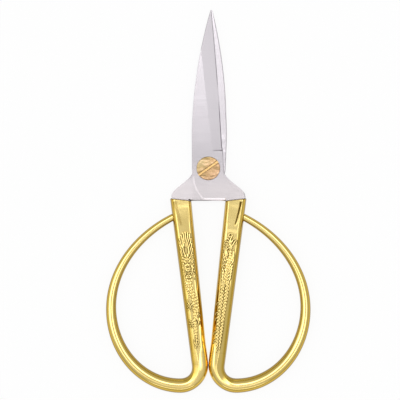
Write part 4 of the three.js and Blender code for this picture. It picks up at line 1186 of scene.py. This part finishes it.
def nut_rings():
    """A hexagon's rings round its bore; the corners are chamfered, as a cone would cut them, at top and bottom."""
    angle = np.linspace(0.0, 2.0 * math.pi, NUT_SIDES, endpoint=False)
    side = NUT_ACROSS_FLATS / 2 / np.cos((angle + math.pi / 6) % (math.pi / 3) - math.pi / 6)
    flat = np.full(NUT_SIDES, NUT_ACROSS_FLATS / 2 * NUT_FACE_SHARE)
    drop = np.maximum(0.0, side - flat) * NUT_CHAMFER
    low, high = NUT_Z, NUT_Z + NUT_HEIGHT
    bore = np.full(NUT_SIDES, BORE_RADIUS)
    mouth = bore + NUT_BORE_BREAK
    level = [(bore, low + NUT_BORE_BREAK), (mouth, low), (flat, low), (side, low + drop),
             (side, high - drop), (flat, high), (mouth, high), (bore, high - NUT_BORE_BREAK)]
    return np.stack([together(r * np.cos(angle), r * np.sin(angle), z) for r, z in level])


def washer_profile(low, thickness, radius, dish):
    """A washer's closed half section with rounded corners; its inner rim stands higher than its outer rim by dish."""
    round_off = min(WASHER_ROUND, thickness / 3)
    turn = np.linspace(0.0, math.pi / 2, 4)
    points = []
    for middle_r, middle_z, start in ((radius - round_off, thickness - round_off, 0.0),
                                      (BORE_RADIUS + round_off, thickness - round_off, 0.5),
                                      (BORE_RADIUS + round_off, round_off, 1.0),
                                      (radius - round_off, round_off, 1.5)):
        angle = turn + start * math.pi
        points.append(together(middle_r + round_off * np.cos(angle), middle_z + round_off * np.sin(angle)))
    points = np.concatenate(points)
    tilt = dish * (radius - points[:, 0]) / (radius - BORE_RADIUS)
    return together(points[:, 0], low + points[:, 1] + tilt)


# Assembly

STEEL = steel_finish()
GILT = gilt_finish()
BRASS = brass_finish()
CUT_BRASS = cut_brass_finish("cut_brass", (0.58, 0.37, 0.15), (0.72, 0.48, 0.21))
# painted shade: very dark brass on the slot's broken edges
SLOT_EDGE_SHADE = cut_brass_finish("slot_edge_shade_brass", (0.16, 0.10, 0.04), (0.26, 0.16, 0.06))
SPRING = spring_finish()


def join_frame(piece, body, node):
    """The piece moves with the body and stands for the node, which is hidden."""
    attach(piece, body)
    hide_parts(node)


def raised(rings, height):
    """The same rings, higher by this."""
    return rings + np.array([0.0, 0.0, height])


def add_blade(name, body, lean, spine_out, place):
    """A blade with the pivot's bore through it."""
    rings = raised(blade_rings(lean, spine_out), BLADE_GAP / 2)
    blade = skin(name + "_satin", raised(place(rings), MIDDLE_Z), STEEL, sharp=BLADE_ARRIS)
    bore = turned("bore", [(BORE_RADIUS, -CUT_OVER), (BORE_RADIUS, SCREW_HEAD_Z)], BORE_SIDES, STEEL)
    cut_away(blade, bore, BLADE_ARRIS)
    join_frame(blade, body, name)


END_MIDDLES = (0.5, 0.5)  # what the middles of a handle's two ends carry, which lie inside it


def add_handle(name, body, place):
    """A handle, whose points carry their wear and painted shade, and their painted flank light."""
    rings, wear_and_shade, painted_flank_light = handle_rings()
    handle = skin(name + "_gilt", raised(place(rings), MIDDLE_Z), GILT, sharp=HANDLE_ARRIS)
    for mark, values in (("relief_wear_and_shade", wear_and_shade), ("painted_flank_light", painted_flank_light)):
        layer = handle.data.attributes.new(mark, "FLOAT", "POINT")
        layer.data.foreach_set("value", np.concatenate([values.ravel(), END_MIDDLES]).astype(np.float32))
    join_frame(handle, body, name)


add_blade("front_blade", "front_half", BLADE_LEAN, 0.0, np.array)
add_blade("rear_blade", "rear_half", -BLADE_LEAN, REAR_SPINE_OUT, turned_over)
add_handle("right_handle", "front_half", np.array)
add_handle("left_handle", "rear_half", turned_over)

screw = turned("pivot_screw_turned", screw_profile(), SCREW_SIDES, BRASS, sharp=SCREW_ARRIS)
SLOT_FLOOR = SLOT_WIDTH / 2 - SLOT_BREAK
for cut, high_half, depth, finish in (("slot_edge", SLOT_WIDTH / 2, SLOT_BREAK, SLOT_EDGE_SHADE),
                                      ("slot", SLOT_FLOOR, SLOT_DEPTH, CUT_BRASS)):
    cut_away(screw, skin(cut, slot_cutter(SLOT_FLOOR, high_half, depth), finish), SCREW_ARRIS)
join_frame(screw, "rear_half", "pivot_screw")
dished = washer_profile(SPRING_WASHER_Z, SPRING_WASHER_SHEET, SPRING_WASHER_RADIUS, SPRING_WASHER_DISH)
spring = turned("spring_washer_dished", dished, WASHER_SIDES, SPRING, wrapped=True)
join_frame(spring, "rear_half", "spring_washer")
level = washer_profile(REAR_WASHER_Z, REAR_WASHER_THICKNESS, REAR_WASHER_RADIUS, 0.0)
washer = turned("rear_washer_rounded", level, WASHER_SIDES, BRASS, wrapped=True)
join_frame(washer, "rear_half", "rear_washer")
nut = skin("lock_nut_chamfered", nut_rings(), BRASS, wrapped=True)
join_frame(nut, "rear_half", "lock_nut")

# Stage: camera, floor and light


def stage_camera():
    """Square above the photograph's middle, as far off as its lens needs to take in the photograph's width."""
    data = bpy.data.cameras.new("camera")
    data.lens, data.sensor_width = LENS, SENSOR
    data.clip_start, data.clip_end = CLIP
    camera = placed("camera", data)
    half = PHOTO_SIZE / 2
    camera.location = (
        (half - PHOTO_PIVOT[0]) * PHOTO_SCALE * MM, (PHOTO_PIVOT[1] - half) * PHOTO_SCALE * MM,
        MIDDLE_Z * MM + PHOTO_SIZE * PHOTO_SCALE * MM * LENS / SENSOR)
    bpy.context.scene.camera = camera


FLOOR_COLOUR = (0.98, 0.98, 0.98, 1.0)
FLOOR_WHITE = 0.9  # share of the floor that is plain white to the camera and in reflections
FLOOR_REACH, FLOOR_LEVEL = 60.0, -0.00005  # metres


def stage_floor():
    """A plain pale floor that the camera sees as white, with the object's soft shadow kept in it."""
    material = bpy.data.materials.new("floor")
    material.use_nodes = True
    tree = material.node_tree
    tree.nodes.clear()
    path = add(tree, "LightPath").outputs
    mirrored = maths(tree, "ADD", path["Is Glossy Ray"], path["Is Transmission Ray"])
    seen = maths(tree, "MAXIMUM", path["Is Camera Ray"], mirrored)
    matt = add(tree, "BsdfDiffuse", {"Color": FLOOR_COLOUR}).outputs[0]
    white = add(tree, "Emission", {"Strength": 1.0}).outputs[0]
    both = add(tree, "MixShader", {0: maths(tree, "MULTIPLY", seen, FLOOR_WHITE), 1: matt, 2: white}).outputs[0]
    add(tree, "OutputMaterial", {"Surface": both})
    mesh = bpy.data.meshes.new("floor")
    corners = [(x * FLOOR_REACH, y * FLOOR_REACH, FLOOR_LEVEL) for x, y in ((-1, -1), (1, -1), (1, 1), (-1, 1))]
    mesh.from_pydata(corners, [], [(0, 1, 2, 3)])
    mesh.materials.append(material)
    floor = placed("floor", mesh)


def band(tree, value, rise, full, hold, fall):
    """1 between full and hold, with smooth slopes to 0 at rise and at fall."""
    up = spread(tree, value, rise, full, interpolation_type="SMOOTHSTEP")
    down = spread(tree, value, hold, fall, 1.0, 0.0, interpolation_type="SMOOTHSTEP")
    return maths(tree, "MULTIPLY", up, down)


# Brightness of the dome by the height of a direction; soft boxes on it, each as added brightness, its band across x and
# its band across y; and the dark round of the lens in the boxes, as its direction and where it starts and ends to fade
DOME = ((0.0, 1.0), (0.05, 1.0), (0.08, 0.45), (0.26, 0.48), (0.5, 0.52), (0.71, 0.58), (0.87, 0.68), (1.0, 0.74))
SOFT_BOXES = (
    (2.5, (-0.95, -0.1, 0.12, 0.545), (-0.24, -0.08, 0.26, 0.46)),
    (0.2, (-0.99, -0.9, -0.7, -0.5), (-0.5, -0.2, 0.2, 0.5)),
    (1.0, (-0.5, -0.3, 0.3, 0.5), (-0.85, -0.80, -0.75, -0.70)),
)
LENS_ROUND = (-0.015, -0.03, 1.0)
LENS_FADE = (0.085, 0.2)


def stage_light():
    """A studio dome by height, white at the horizon and dim above it, with soft boxes round the dark of the lens."""
    world = bpy.data.worlds.new("studio")
    bpy.context.scene.world = world
    world.use_nodes = True
    tree = world.node_tree
    way = add(tree, "TexCoord").outputs["Generated"]
    parts = add(tree, "SeparateXYZ", {0: way}).outputs
    level = ramp(tree, parts["Z"], [(z, (v, v, v)) for z, v in DOME])
    off_lens = add(tree, "VectorMath", {0: way, 1: LENS_ROUND}, operation="DISTANCE").outputs["Value"]
    clear = spread(tree, off_lens, *LENS_FADE, interpolation_type="SMOOTHSTEP")
    for strength, across, along in SOFT_BOXES:
        box = maths(tree, "MULTIPLY", band(tree, parts["X"], *across), band(tree, parts["Y"], *along))
        level = maths(tree, "MULTIPLY_ADD", maths(tree, "MULTIPLY", box, clear), strength, level)
    tree.links.new(level, tree.nodes["Background"].inputs["Color"])


stage_camera()
stage_floor()
stage_light()
bpy.context.scene.view_settings.view_transform = "Standard"
